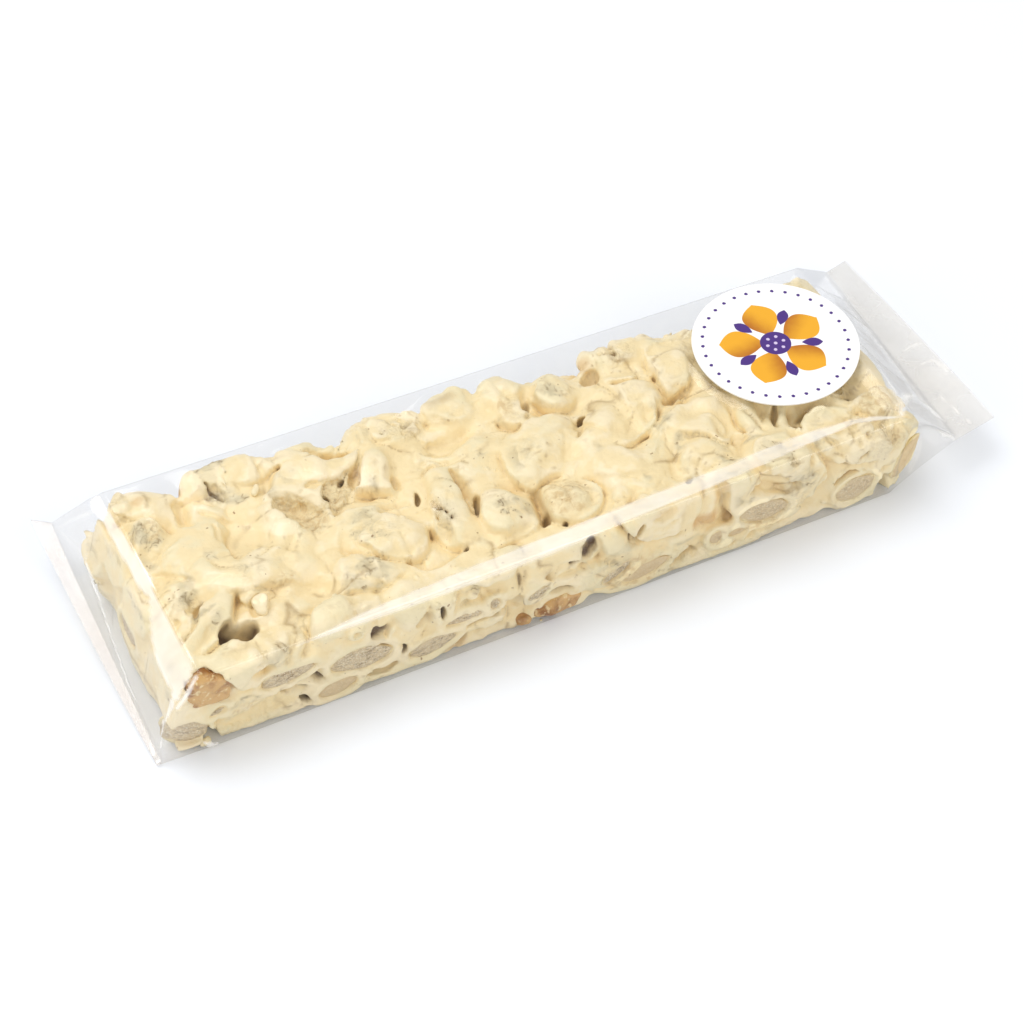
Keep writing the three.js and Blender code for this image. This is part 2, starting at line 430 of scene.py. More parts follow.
@dataclass(frozen=True)
class DrawnFolds:
    """The pillows, creases and threads that soft nougat is drawn out into, over a plane.

    seed: the first seed of its random draws.
    """

    seed: int

    def noise(self, u: Array, v: Array, cell: float, turn: int) -> Array:
        """Noise of its own for each turn."""
        return plane_noise(u, v, cell, self.seed + turn)

    def flow(self, u: Array, v: Array) -> tuple[Array, ...]:
        """Places carried along by a slow swirl."""
        return tuple(
            line + 5.0 * self.noise(u, v, 15.0, k) + 1.5 * self.noise(u, v, 5.5, 4 + k)
            for k, line in enumerate((u, v))
        )

    def height(self, u: Array, v: Array) -> Array:
        """Height in millimetres, about nought on average."""
        p, q = self.flow(u, v)
        pillows = np.abs(self.noise(p, q, 8.0, 8)) ** 0.8 - 0.5
        small = np.abs(self.noise(p, 1.6 * q, 3.8, 9)) - 0.45
        small = small * np.clip(0.3 + self.noise(u, v, 11.0, 10), 0.0, 1.2)
        threads = np.exp(-((self.noise(p, 2.0 * q, 9.0, 11) / 0.08) ** 2))
        threads = threads * np.clip(0.15 + 1.2 * self.noise(u, v, 12.0, 12), 0.0, 1.0)
        return 0.8 * pillows + 0.34 * small + 0.6 * threads

    def seam_shade_lines(self, u: Array, v: Array) -> Array:
        """1 on the thin lines of painted shade where some of the pillows meet."""
        p, q = self.flow(u, v)
        long_line = np.exp(-((self.noise(p, q, 8.0, 8) / 0.07) ** 2))
        long_line = long_line * np.clip(1.3 * self.noise(u, v, 9.0, 13) - 0.1, 0.0, 1.0)
        short = np.exp(-((self.noise(p, 1.6 * q, 3.8, 9) / 0.09) ** 2))
        short = short * np.clip(1.4 * self.noise(u, v, 6.5, 14) - 0.35, 0.0, 1.0)
        return np.maximum(long_line, 0.8 * short)


TOP_FOLDS = DrawnFolds(300)
SIDE_FOLDS = DrawnFolds(330)


def smooth_union(a: Array, b: Array, width: float) -> Array:
    """Joins two distance fields with a fillet of that width."""
    share = np.clip(0.5 + 0.5 * (b - a) / width, 0.0, 1.0)
    return b + (a - b) * share - width * share * (1.0 - share)


def smooth_cut(a: Array, tool: Array, width: float) -> Array:
    """Cuts tool out of a, with edges rounded to that width."""
    return -smooth_union(-a, tool, width)


def close_border(values: Array) -> None:
    """Makes the outermost samples positive, so that the field's surface closes."""
    border = np.ones(values.shape, bool)
    border[1:-1, 1:-1, 1:-1] = False
    values[border] = 1.0


def fan(middle: int, ring: int, around: int) -> Array:
    """Triangles between a middle point and the ring of points from a vertex number on."""
    k = np.arange(around)
    return np.stack([np.full(around, middle), ring + k, ring + (k + 1) % around], 1)


def band(first: int, second: int, around: int) -> Array:
    """Triangles between two rings of points."""
    k = np.arange(around)
    after = (k + 1) % around
    low = np.stack([first + k, second + k, second + after], 1)
    return np.concatenate([low, np.stack([first + k, second + after, first + after], 1)])


def joined(meshes: list[tuple]) -> tuple[Array, Array]:
    """The points and faces of several meshes, as one mesh."""
    starts = np.cumsum([0] + [len(points) for points, *_ in meshes])
    faces = [mesh[1] + start for mesh, start in zip(meshes, starts)]
    return np.concatenate([mesh[0] for mesh in meshes]), np.concatenate(faces)


def turn_matrix(yaw: float, pitch: float, roll: float = 0.0) -> Array:
    """Columns are a turned piece's own axes: yaw about Z, pitch lifting its +u end, roll about u."""
    turned = Matrix.Rotation(math.radians(yaw), 3, "Z")
    turned = turned @ Matrix.Rotation(math.radians(-pitch), 3, "Y")
    return np.array(turned @ Matrix.Rotation(math.radians(roll), 3, "X"), np.float32)


def ellipsoid_distance(
    points: tuple[Array, Array, Array],
    centre: Triple,
    sizes: Triple,
    axes: Array,
    taper: float = 0.0,
) -> Array:
    """Distance to a turned ellipsoid, about right near its surface.

    Args:
        points: X, Y and Z, ready to broadcast.
        centre: its middle.
        sizes: its half sizes along its own axes.
        axes: columns are its own axes.
        taper: how much narrower its +u end is than its middle, as an almond's tip.

    Returns:
        The distance at each point, negative inside.
    """
    dx, dy, dz = (p - np.float32(c) for p, c in zip(points, centre))
    local = [axes[0, i] * dx + axes[1, i] * dy + axes[2, i] * dz for i in range(3)]
    u = local[0] / sizes[0]
    narrow = 1.0 - taper * np.clip(u, -1.2, 1.2)
    v = local[1] / (sizes[1] * narrow)
    w = local[2] / (sizes[2] * narrow)
    reach = np.sqrt(u * u + v * v + w * w) + 1e-6
    slope = np.sqrt((u / sizes[0]) ** 2 + (v / sizes[1]) ** 2 + (w / sizes[2]) ** 2) + 1e-6
    return reach * (reach - 1.0) / slope


def box_blur(values: Array, radius: int) -> Array:
    """Mean over a cube of 2 * radius + 1 samples a side, with the edges repeated."""
    out = values.astype(np.float32)
    for axis in range(3):
        pad = [(0, 0)] * 3
        pad[axis] = (radius + 1, radius)
        total = np.cumsum(np.pad(out, pad, mode="edge"), axis=axis, dtype=np.float64)
        length = out.shape[axis]
        high = np.take(total, np.arange(2 * radius + 1, 2 * radius + 1 + length), axis=axis)
        low = np.take(total, np.arange(length), axis=axis)
        out = ((high - low) / (2 * radius + 1)).astype(np.float32)
    return out


def sample_grid(values: Array, grid: Grid, points: Array) -> Array:
    """Reads a grid's values at points, by trilinear interpolation."""
    place = (points - np.array(grid.low)) / grid.step
    place = np.clip(place, 0, np.array(grid.shape) - 1.001)
    whole = place.astype(int)
    t = place - whole
    out = np.zeros(len(points))
    for corner in range(8):
        bits = np.array([(corner >> axis) & 1 for axis in range(3)])
        weight = np.prod(np.where(bits, t, 1 - t), axis=1)
        i, j, k = (whole + bits).T
        out += weight * values[i, j, k]
    return out


def surface_of(values: Array, grid: Grid) -> tuple[Array, Array]:
    """Closed mesh of the zero surface of a field that is positive at the grid's border.

    Each grid cell that the surface crosses holds one point, at the mean of the crossings on
    the cell's edges, and each crossed grid edge has one face between its four cells.

    Args:
        values: the field, negative inside.
        grid: its grid.

    Returns:
        The points in millimetres and the four-cornered faces, facing out.
    """
    cells = np.array(grid.shape) - 1
    strides = np.array([cells[1] * cells[2], cells[2], 1])
    inside = values < 0
    sums = [np.zeros(int(np.prod(cells))) for _ in range(3)]
    counts = np.zeros(int(np.prod(cells)), np.int32)
    faces = []
    for axis in range(3):
        first, second = list(WHOLE), list(WHOLE)
        first[axis], second[axis] = slice(None, -1), slice(1, None)
        first, second = tuple(first), tuple(second)
        crossed = np.nonzero(inside[first] != inside[second])
        a, b = values[first][crossed], values[second][crossed]
        place = np.array(crossed, float)
        place[axis] += a / (a - b)
        u, v = (axis + 1) % 3, (axis + 2) % 3
        ring = []
        for back_u, back_v in ((1, 1), (0, 1), (0, 0), (1, 0)):
            cell = np.array(crossed)
            cell[u] -= back_u
            cell[v] -= back_v
            number = strides @ cell
            ring.append(number)
            counts += np.bincount(number, minlength=len(counts)).astype(np.int32)
            for k in range(3):
                sums[k] += np.bincount(number, weights=place[k], minlength=len(counts))
        ring = np.array(ring).T
        outward = inside[first][crossed]
        ring[~outward] = ring[~outward][:, ::-1]
        faces.append(ring)
    used = np.nonzero(counts)[0]
    points = np.stack([sums[k][used] / counts[used] for k in range(3)], 1)
    points = points * grid.step + np.array(grid.low)
    number_of = np.full(len(counts), -1, np.int64)
    number_of[used] = np.arange(len(used))
    return points, number_of[np.concatenate(faces)]


# ---------------------------------------------------------------- shader nodes


def linear(red: int, green: int, blue: int) -> Quad:
    """A colour given as 0 to 255 display values, as linear light."""

    def one(value: int) -> float:
        share = value / 255.0
        return share / 12.92 if share <= 0.04045 else ((share + 0.055) / 1.055) ** 2.4

    return one(red), one(green), one(blue), 1.0


class NodeSheet:
    """Builds nodes in one material's or group's tree."""

    def __init__(self, tree: NodeTree) -> None:
        """Keeps the tree.

        Args:
            tree: the node tree that new nodes go into.
        """
        self.tree = tree

    def feed(self, node: Node, inputs: dict) -> None:
        """Gives a node's inputs their values, or the sockets that feed them."""
        for name, value in inputs.items():
            if isinstance(value, Socket):
                self.tree.links.new(value, node.inputs[name])
            else:
                node.inputs[name].default_value = value

    def add(self, kind: str, inputs: dict | None = None, **settings: object) -> Node:
        """Adds a node.

        Args:
            kind: the node's type name without "ShaderNode".
            inputs: socket name or number to a value, or to the socket that feeds it.
            settings: the node's own properties.

        Returns:
            The new node.
        """
        node = self.tree.nodes.new("ShaderNode" + kind)
        for name, value in settings.items():
            setattr(node, name, value)
        self.feed(node, inputs or {})
        return node

    def group(self, tree: NodeTree, **inputs: object) -> Socket:
        """The output of a shared group with its own input values."""
        return self.add("Group", inputs, node_tree=tree).outputs[0]

    def math(self, operation: str, *values: object, clamp: bool = False) -> Socket:
        """The result of a Math node on values or sockets."""
        node = self.add("Math", dict(enumerate(values)), operation=operation, use_clamp=clamp)
        return node.outputs[0]

    def times(self, first: object, second: object, clamp: bool = False) -> Socket:
        """The product of two values."""
        return self.math("MULTIPLY", first, second, clamp=clamp)

    def plus(self, base: object, value: object, share: object, clamp: bool = False) -> Socket:
        """Base with a share of value added."""
        return self.math("MULTIPLY_ADD", value, share, base, clamp=clamp)

    def rest(self, value: object, clamp: bool = False) -> Socket:
        """What value leaves of 1."""
        return self.math("SUBTRACT", 1.0, value, clamp=clamp)

    def over(self, first: object, second: object) -> Socket:
        """First divided by second, from 0 to 1."""
        return self.math("DIVIDE", first, self.math("ADD", second, 0.001), clamp=True)

    def mix(self, share: object, first: object, second: object) -> Socket:
        """A colour mixed from first to second by share."""
        return self.add("Mix", {0: share, 6: first, 7: second}, data_type="RGBA").outputs[2]

    def ramp(self, value: Socket, start: float, end: float) -> Socket:
        """0 below start and 1 above end, smooth between them."""
        inputs = {"Value": value, "From Min": start, "From Max": end}
        return self.add("MapRange", inputs, interpolation_type="SMOOTHSTEP").outputs["Result"]

    def paint(self, colour: object, *layers: tuple[object, object]) -> Socket:
        """Lays each layer's colour over the last, by the layer's share."""
        for share, over in layers:
            colour = self.mix(share, colour, over)
        return colour

    def attribute(self, name: str) -> Socket:
        """A number stored on the piece's vertices."""
        return self.add("Attribute", attribute_name=name).outputs["Fac"]

    def place(self) -> Socket:
        """The piece's own coordinates in millimetres."""
        source = self.add("TexCoord").outputs["Object"]
        return self.add("VectorMath", {0: source, 1: (1000, 1000, 1000)}, operation="MULTIPLY").outputs[0]

    def noise(self, vector: Socket, size: float, detail: float = 2.0, distortion: float = 0.0) -> Socket:
        """Noise with blobs of about that size in millimetres."""
        inputs = {"Vector": vector, "Scale": 1.0 / size, "Detail": detail, "Distortion": distortion}
        return self.add("TexNoise", inputs).outputs["Fac"]

    def bump(self, height: Socket, strength: float, depth: float) -> Socket:
        """The normal of a surface with that height, whose 1 is that many millimetres."""
        return self.add("Bump", {"Height": height, "Strength": strength, "Distance": depth * MM}).outputs[0]


class Effects:
    """The shader groups that several materials share, each built once."""

    _made: dict[str, NodeTree] = {}

    @classmethod
    def shared(cls, name: str, sizes: dict[str, float], output: str, fill: Callable) -> NodeTree:
        """A group with Place, sizes and one output, built the first time it is asked for.

        Args:
            name: the group's name.
            sizes: its number inputs and their default values.
            output: the name of its output.
            fill: makes the output's socket from a sheet and the group's inputs by name.

        Returns:
            The group's tree.
        """
        if name in cls._made:
            return cls._made[name]
        tree = bpy.data.node_groups.new(name, "ShaderNodeTree")
        tree.interface.new_socket(name="Place", in_out="INPUT", socket_type="NodeSocketVector")
        for label, value in sizes.items():
            socket = tree.interface.new_socket(name=label, in_out="INPUT", socket_type="NodeSocketFloat")
            socket.default_value = value
        tree.interface.new_socket(name=output, in_out="OUTPUT", socket_type="NodeSocketFloat")
        source = tree.nodes.new("NodeGroupInput").outputs
        sink = tree.nodes.new("NodeGroupOutput")
        tree.links.new(fill(NodeSheet(tree), source), sink.inputs[output])
        cls._made[name] = tree
        return tree

    @classmethod
    def mottle(cls) -> NodeTree:
        """Soft uneven patches: inputs Place and Size, output Mask."""

        def fill(sheet: NodeSheet, given: NodeOutputs) -> Socket:
            scale = sheet.math("DIVIDE", 1.0, given["Size"])
            big = sheet.add("TexNoise", {"Vector": given["Place"], "Scale": scale, "Detail": 3.0})
            scale = sheet.times(scale, 4.3)
            fine = sheet.add("TexNoise", {"Vector": given["Place"], "Scale": scale, "Detail": 2.0})
            return sheet.ramp(sheet.plus(big.outputs["Fac"], fine.outputs["Fac"], 0.35), 0.42, 0.92)

        return cls.shared("soft_mottle", {"Size": 5.0}, "Mask", fill)

    @classmethod
    def relief(cls) -> NodeTree:
        """Fine uneven height: inputs Place, Size and Pits, output Height."""

        def fill(sheet: NodeSheet, given: NodeOutputs) -> Socket:
            scale = sheet.math("DIVIDE", 1.0, given["Size"])
            waves = sheet.add("TexNoise", {"Vector": given["Place"], "Scale": scale, "Detail": 3.0})
            cells = sheet.add("TexVoronoi", {"Vector": given["Place"], "Scale": sheet.times(scale, 0.6)})
            pit = sheet.rest(sheet.ramp(cells.outputs["Distance"], 0.05, 0.3))
            return sheet.math("SUBTRACT", waves.outputs["Fac"], sheet.times(pit, given["Pits"]))

        return cls.shared("fine_relief", {"Size": 1.2, "Pits": 0.4}, "Height", fill)

    @classmethod
    def fibres(cls) -> NodeTree:
        """Broken streaks along Place's X: inputs Place, Size and Stretch, output Mask."""

        def fill(sheet: NodeSheet, given: NodeOutputs) -> Socket:
            parts = sheet.add("SeparateXYZ", {0: given["Place"]}).outputs
            along = sheet.math("DIVIDE", parts[0], given["Stretch"])
            pressed = sheet.add("CombineXYZ", {0: along, 1: parts[1], 2: parts[2]}).outputs[0]
            scale = sheet.math("DIVIDE", 1.0, given["Size"])
            inputs = {"Vector": pressed, "Scale": scale, "Detail": 4.0, "Roughness": 0.62, "Distortion": 0.4}
            return sheet.ramp(sheet.add("TexNoise", inputs).outputs["Fac"], 0.38, 0.66)

        return cls.shared("broken_streaks", {"Size": 0.8, "Stretch": 5.0}, "Mask", fill)


def new_material(name: str) -> tuple[Material, NodeSheet, Node]:
    """Makes a material with a lone Principled shader.

    Args:
        name: the material's name.

    Returns:
        The material, its sheet and its Principled node.
    """
    made = bpy.data.materials.new(name)
    made.use_nodes = True
    shader = next(n for n in made.node_tree.nodes if n.type == "BSDF_PRINCIPLED")
    return made, NodeSheet(made.node_tree), shader


def wear(piece: Piece, made: Material) -> None:
    """Gives a piece its one material."""
    piece.data.materials.clear()
    piece.data.materials.append(made)


# ---------------------------------------------------------------- finishes


@dataclass(frozen=True)
class NougatFinish:
    """Soft cream nougat: pale crowns, hollows yellowed by painted shade, browned where skins show."""

    crown: tuple = linear(252, 236, 198)
    crown_green: tuple = linear(245, 231, 190)
    # body and hollow are painted shade: steps darker and yellower where the surface lies deep among its
    # neighbours
    body: tuple = linear(248, 228, 180)
    hollow: tuple = linear(236, 211, 159)
    # painted shade in narrow creases
    crevice_shade: tuple = linear(190, 162, 112)
    veil: tuple = linear(206, 194, 160)
    veil_dark: tuple = linear(158, 138, 102)
    flesh_light: tuple = linear(247, 229, 184)
    flesh_dark: tuple = linear(228, 202, 152)
    skin: tuple = linear(150, 114, 66)
    amber: tuple = linear(214, 166, 98)
    # painted shade inside holes
    hole_shade: tuple = linear(100, 72, 34)
    # painted shade along the creases where pillows meet
    seam_shade: tuple = linear(174, 146, 98)
    roughness: float = 0.38

    def material(self) -> Material:
        """Builds the nougat's material, which reads the masks stored on its vertices."""
        made, sheet, shader = new_material("nougat_cream")
        place = sheet.place()
        patches = sheet.group(Effects.mottle(), Place=place, Size=7.0)
        thin, flesh, crevice_shade = (sheet.attribute(name) for name in ("thin", "flesh", "crevice_shade"))
        own = sheet.add("CombineXYZ", {0: sheet.attribute("along"), 1: sheet.attribute("across")}).outputs[0]
        grain = sheet.group(Effects.fibres(), Place=own, Size=1.7, Stretch=4.5)
        # sunk is random patches plus the hollow mask, which is painted shade
        sunk = sheet.plus(sheet.math("SUBTRACT", sheet.attribute("hollow"), 0.1), patches, 0.2)
        tint = sheet.ramp(sheet.noise(place, 16.0, 2.0, 0.5), 0.42, 0.6)
        veil = self.veil_mask(sheet, place, thin)
        core = sheet.times(sheet.times(veil, grain), sheet.ramp(sheet.noise(place, 2.6, 3.0), 0.48, 0.58))
        crack = self.crack_mask(sheet, place, veil)
        mottled = sheet.ramp(sheet.noise(place, 2.0, 3.0, 0.6), 0.4, 0.66)
        flecks = sheet.ramp(sheet.noise(place, 1.5, 4.0, 0.6), 0.46, 0.6)
        # skin marks show more strongly in narrow creases, where they add to the painted shade
        lined = sheet.times(sheet.plus(0.18, sheet.ramp(crevice_shade, 0.5, 0.72), 0.9), flecks)
        specks = sheet.ramp(sheet.noise(place, 1.5, 1.0), 0.73, 0.78)
        specks = sheet.times(specks, sheet.ramp(sheet.noise(place, 17.0), 0.44, 0.54))
        colour = sheet.paint(
            sheet.mix(tint, self.crown, self.crown_green),
            # painted shade in the hollows, in two steps
            (sheet.ramp(sunk, 0.38, 0.54), self.body),
            (sheet.ramp(sunk, 0.54, 0.84), self.hollow),
            (sheet.times(veil, 0.8), self.veil),
            (sheet.times(core, 0.7), self.veil_dark),
            (sheet.times(crack, 0.6), self.skin),
            (
                sheet.ramp(sheet.plus(flesh, patches, 0.8), 0.7, 1.3),
                sheet.mix(mottled, self.flesh_light, self.flesh_dark),
            ),
            # painted shade in narrow creases
            (sheet.ramp(crevice_shade, 0.64, 0.88), self.crevice_shade),
            # painted shade along the creases where pillows meet
            (sheet.times(sheet.attribute("seam_shade"), 0.7), self.seam_shade),
            (sheet.times(sheet.times(sheet.attribute("skin"), lined), 0.9, clamp=True), self.skin),
            (sheet.attribute("amber"), self.amber),
            (sheet.times(specks, 0.8), self.skin),
            # painted shade inside holes
            (sheet.attribute("hole_shade"), self.hole_shade),
        )
        height = sheet.group(Effects.relief(), Place=place, Size=1.8, Pits=0.1)
        height = sheet.plus(height, sheet.noise(place, 0.8, 5.0), sheet.times(sheet.attribute("crumb"), 2.4))
        height = sheet.plus(height, grain, sheet.times(thin, -0.7))
        height = sheet.plus(height, crack, -0.9)
        rough = sheet.plus(sheet.plus(self.roughness, patches, 0.16), flesh, 0.2)
        sheet.feed(
            shader, {"Base Color": colour, "Roughness": rough, "Normal": sheet.bump(height, 0.6, 0.5)}
        )
        return made

    def veil_mask(self, sheet: NodeSheet, place: Socket, thin: Socket) -> Socket:
        """Where an almond shows grey through a thin coat."""
        cloud = sheet.ramp(sheet.noise(place, 4.2, 3.0, 0.8), 0.44, 0.6)
        smudge = sheet.ramp(sheet.noise(place, 3.2, 1.5, 0.5), 0.26, 0.6)
        placed = sheet.times(sheet.attribute("veil"), smudge)
        return sheet.plus(placed, sheet.times(thin, cloud), 0.62, clamp=True)

    def crack_mask(self, sheet: NodeSheet, place: Socket, veil: Socket) -> Socket:
        """Thin wandering cracks in the veiled patches."""
        wander = sheet.math("ABSOLUTE", sheet.math("SUBTRACT", sheet.noise(place, 3.6, 3.0, 0.9), 0.5))
        spread = sheet.ramp(sheet.noise(place, 5.0, 1.0), 0.46, 0.56)
        shown = sheet.times(sheet.ramp(veil, 0.2, 0.55), spread)
        return sheet.times(sheet.rest(sheet.ramp(wander, 0.004, 0.02)), shown)


@dataclass(frozen=True)
class AlmondFinish:
    """Cut almond: grainy pale flesh, a little browner towards its skin."""

    flesh: tuple = linear(228, 208, 170)
    streak: tuple = linear(150, 123, 88)
    sugar: tuple = linear(248, 240, 220)
    tan: tuple = linear(232, 204, 156)
    skin: tuple = linear(214, 186, 134)
    nougat: tuple = linear(249, 232, 186)

    def material(self) -> Material:
        """Builds the cut almonds' material. Vertices hold along, across, rim and tone."""
        made, sheet, shader = new_material("almond_cut")
        along, across, tone = (sheet.attribute(name) for name in ("along", "across", "tone"))
        local = sheet.add("CombineXYZ", {0: along, 1: across, 2: tone}).outputs[0]
        warm = sheet.ramp(tone, 0.3, 1.0)
        streaks = sheet.group(Effects.fibres(), Place=local, Size=0.5, Stretch=2.6)
        broad = sheet.ramp(sheet.noise(local, 3.4, 2.0), 0.3, 0.66)
        dark = sheet.times(streaks, sheet.plus(0.2, broad, 0.75))
        sugar = sheet.ramp(sheet.noise(local, 0.36, 2.0), 0.54, 0.62)
        rim = sheet.plus(sheet.attribute("rim"), sheet.noise(local, 2.2, 3.0), 0.5)
        colour = sheet.paint(
            sheet.mix(sheet.times(dark, sheet.rest(sheet.times(warm, 0.75))), self.flesh, self.streak),
            (sheet.times(warm, 0.65), self.tan),
            (sheet.times(sugar, sheet.math("SUBTRACT", 0.7, sheet.times(warm, 0.5))), self.sugar),
            (sheet.times(sheet.ramp(rim, 0.98, 1.2), 0.35), self.skin),
            (sheet.ramp(rim, 1.12, 1.3), self.nougat),
        )
        normal = sheet.bump(sheet.plus(streaks, sugar, 0.5), 0.5, 0.3)
        sheet.feed(shader, {"Base Color": colour, "Roughness": 0.62, "Normal": normal})
        return made


@dataclass(frozen=True)
class CandiedFinish:
    """Candied lumps: glossy amber with darker cores and sugar on top."""

    light: tuple = linear(216, 172, 106)
    dark: tuple = linear(150, 94, 26)
    sugar: tuple = linear(244, 224, 172)

    def material(self) -> Material:
        """Builds the candied lumps' material."""
        made, sheet, shader = new_material("candied_amber")
        place = sheet.place()
        depth = sheet.ramp(sheet.noise(place, 6.0, 3.0, 0.5), 0.42, 0.64)
        grains = sheet.ramp(sheet.noise(place, 1.5, 4.0), 0.56, 0.66)
        height = sheet.group(Effects.relief(), Place=place, Size=1.0, Pits=0.5)
        look = {
            "Base Color": sheet.paint(
                sheet.mix(depth, self.light, self.dark), (sheet.times(grains, 0.7), self.sugar)
            ),
            "Normal": sheet.bump(height, 0.45, 0.5),
            "Roughness": 0.25,
            "Subsurface Weight": 0.15,
            "Subsurface Radius": (1.0, 0.7, 0.35),
            "Subsurface Scale": 0.002,
            "Coat Weight": 0.4,
        }
        sheet.feed(shader, look)
        return made


@dataclass(frozen=True)
class FilmFinish:
    """Clear glossy film: a faint mirror, stronger at a glance, with painted highlights along its folds."""

    mirror: tuple = linear(170, 169, 168)
    # colour of the painted highlights and of the milky seals
    milk_and_highlight: tuple = linear(253, 251, 246)
    # grey of the ends' haze and of the painted shade along the film's foot
    haze_and_foot_shade: tuple = linear(212, 203, 196)
    clear: float = 0.07
    fog_and_foot_shade: float = 0.15
    glance: float = 0.7
    # white scales the painted highlights; glow makes them glow by emission
    white: float = 0.62
    glow: float = 0.22

    def material(self) -> Material:
        """Builds the film's material. Vertices hold painted highlights (crease) and haze and foot shade."""
        made, sheet, shader = new_material("clear_film")
        place = sheet.place()
        facing = sheet.add("LayerWeight", {"Blend": 0.5}).outputs["Facing"]
        shine = sheet.plus(self.clear, sheet.math("POWER", facing, 4.5), self.glance)
        # haze of the ends, with painted shade along the foot
        veil = sheet.times(sheet.attribute("fog_and_foot_shade"), sheet.noise(place, 12.0, 2.0))
        veil = sheet.times(veil, 2.0 * self.fog_and_foot_shade)
        broken = sheet.plus(0.45, sheet.noise(place, 9.0, 2.0, 0.3), 1.0)
        # painted highlights from the crease attribute, broken up by noise
        milk_and_highlight = sheet.times(sheet.times(sheet.attribute("crease"), broken), self.white, clamp=True)
        soft = sheet.math("ADD", veil, milk_and_highlight)
        cover = sheet.math("ADD", shine, soft, clamp=True)
        share = sheet.over(soft, cover)
        tone = sheet.mix(sheet.over(veil, soft), self.milk_and_highlight, self.haze_and_foot_shade)
        smears = sheet.group(Effects.mottle(), Place=place, Size=14.0)
        look = {
            "Alpha": cover,
            "Base Color": sheet.mix(share, self.mirror, tone),
            # the painted highlights glow by emission
            "Emission Color": sheet.mix(sheet.over(milk_and_highlight, cover), (0.0, 0.0, 0.0, 1.0), self.milk_and_highlight),
            "Emission Strength": self.glow,
            "Metallic": sheet.rest(share, clamp=True),
            "Roughness": sheet.plus(0.08, smears, 0.07),
            "Normal": sheet.bump(sheet.noise(place, 9.0, 1.0), 0.25, 1.2),
        }
        sheet.feed(shader, look)
        return made


@dataclass(frozen=True)
class LabelFinish:
    """White sticker printed with golden petals, purple leaves and a ring of purple dots."""

    paper: tuple = linear(252, 252, 252)
    paper_dark: tuple = linear(236, 234, 230)
    gold_light: tuple = linear(238, 172, 34)
    gold_dark: tuple = linear(176, 98, 12)
    violet: tuple = linear(74, 44, 128)
    pale: tuple = linear(214, 198, 232)

    def material(self) -> Material:
        """Builds the label's material. Vertices hold the distances to its printed shapes."""
        made, sheet, shader = new_material("label_print")
        place = sheet.place()
        grain = sheet.noise(place, 0.5, 3.0)
        shade = sheet.plus(sheet.attribute("petal_shade"), sheet.noise(place, 3.0, 2.0), 0.25)
        gold = sheet.mix(sheet.ramp(shade, 0.15, 1.05), self.gold_light, self.gold_dark)
        colour = sheet.mix(sheet.times(grain, 0.05), self.paper, self.paper_dark)
        for name, ink in (("petal", gold), ("violet", self.violet), ("pale", self.pale)):
            inside = sheet.rest(sheet.ramp(sheet.attribute(name), -0.06, 0.06))
            colour = sheet.mix(inside, colour, ink)
        normal = sheet.bump(grain, 0.12, 0.1)
        sheet.feed(shader, {"Base Color": colour, "Roughness": 0.38, "Normal": normal})
        return made


@dataclass(frozen=True)
class FloorFinish:
    """Plain white paper sweep."""

    white: tuple = linear(240, 244, 251)
    dark: tuple = linear(242, 242, 241)
    glow: float = 0.015

    def material(self) -> Material:
        """Builds the floor's material."""
        made, sheet, shader = new_material("floor_paper")
        grain = sheet.noise(sheet.place(), 2.0, 2.0)
        look = {
            "Base Color": sheet.mix(sheet.times(grain, 0.03), self.white, self.dark),
            "Roughness": 0.9,
            "Specular IOR Level": 0.1,
            "Emission Color": (1.0, 1.0, 1.0, 1.0),
            "Emission Strength": self.glow,
        }
        sheet.feed(shader, look)
        return made


# ---------------------------------------------------------------- the nougat


class Almond(NamedTuple):
    """A coated almond that swells out of the nougat: its crown and half sizes."""

    x: float
    y: float
    top: float
    half: float
    wide: float
    yaw: float
    pitch: float = 0.0
    fillet: float = 1.6
    thin: float = 0.4

    def distance(self, points: tuple[Array, ...], lift: float) -> Array:
        """Distance to the almond, raised by lift."""
        high = 0.72 * self.wide
        centre = (self.x, self.y, self.top + lift - high)
        sizes = (self.half, self.wide, high)
        return ellipsoid_distance(points, centre, sizes, turn_matrix(self.yaw, self.pitch), 0.24)


class Hollow(NamedTuple):
    """A hole or gap: its middle, half sizes, yaw and pitch, and how much painted shade darkens its walls."""

    x: float
    y: float
    z: float
    long: float
    wide: float
    deep: float
    yaw: float = 0.0
    pitch: float = 0.0
    dark: float = 1.0

    def distance(self, points: tuple[Array, ...]) -> Array:
        """Distance to the hollow. Those that open in the near face rise inwards."""
        rise = 34.0 if self.y < -30.3 and self.z > 2.0 else 0.0
        return ellipsoid_distance(points, self[:3], self[3:6], turn_matrix(self.yaw, self.pitch, rise))


class Look(Enum):
    """What shows at a patch of the nougat's surface."""

    SKIN = "skin"
    FLESH = "flesh"
    AMBER = "amber"
    CRUMB = "crumb"
    VEIL = "veil"


class Patch(NamedTuple):
    """A patch of the surface that shows something else than plain nougat."""

    x: float
    y: float
    z: float
    long: float
    wide: float
    deep: float
    yaw: float
    strength: float = 1.0

    def cover(self, points: tuple[Array, ...], start: float, end: float) -> Array:
        """How much of the patch shows at points, between two distances from its edge."""
        distance = ellipsoid_distance(points, self[:3], self[3:6], turn_matrix(self.yaw, 0.0))
        return self.strength * (1.0 - smoothstep(distance, start, end))


class Pull(Enum):
    """What the soft nougat does along a line."""

    LEDGE = "ledge"
    STRING = "string"
    CREASE = "crease"


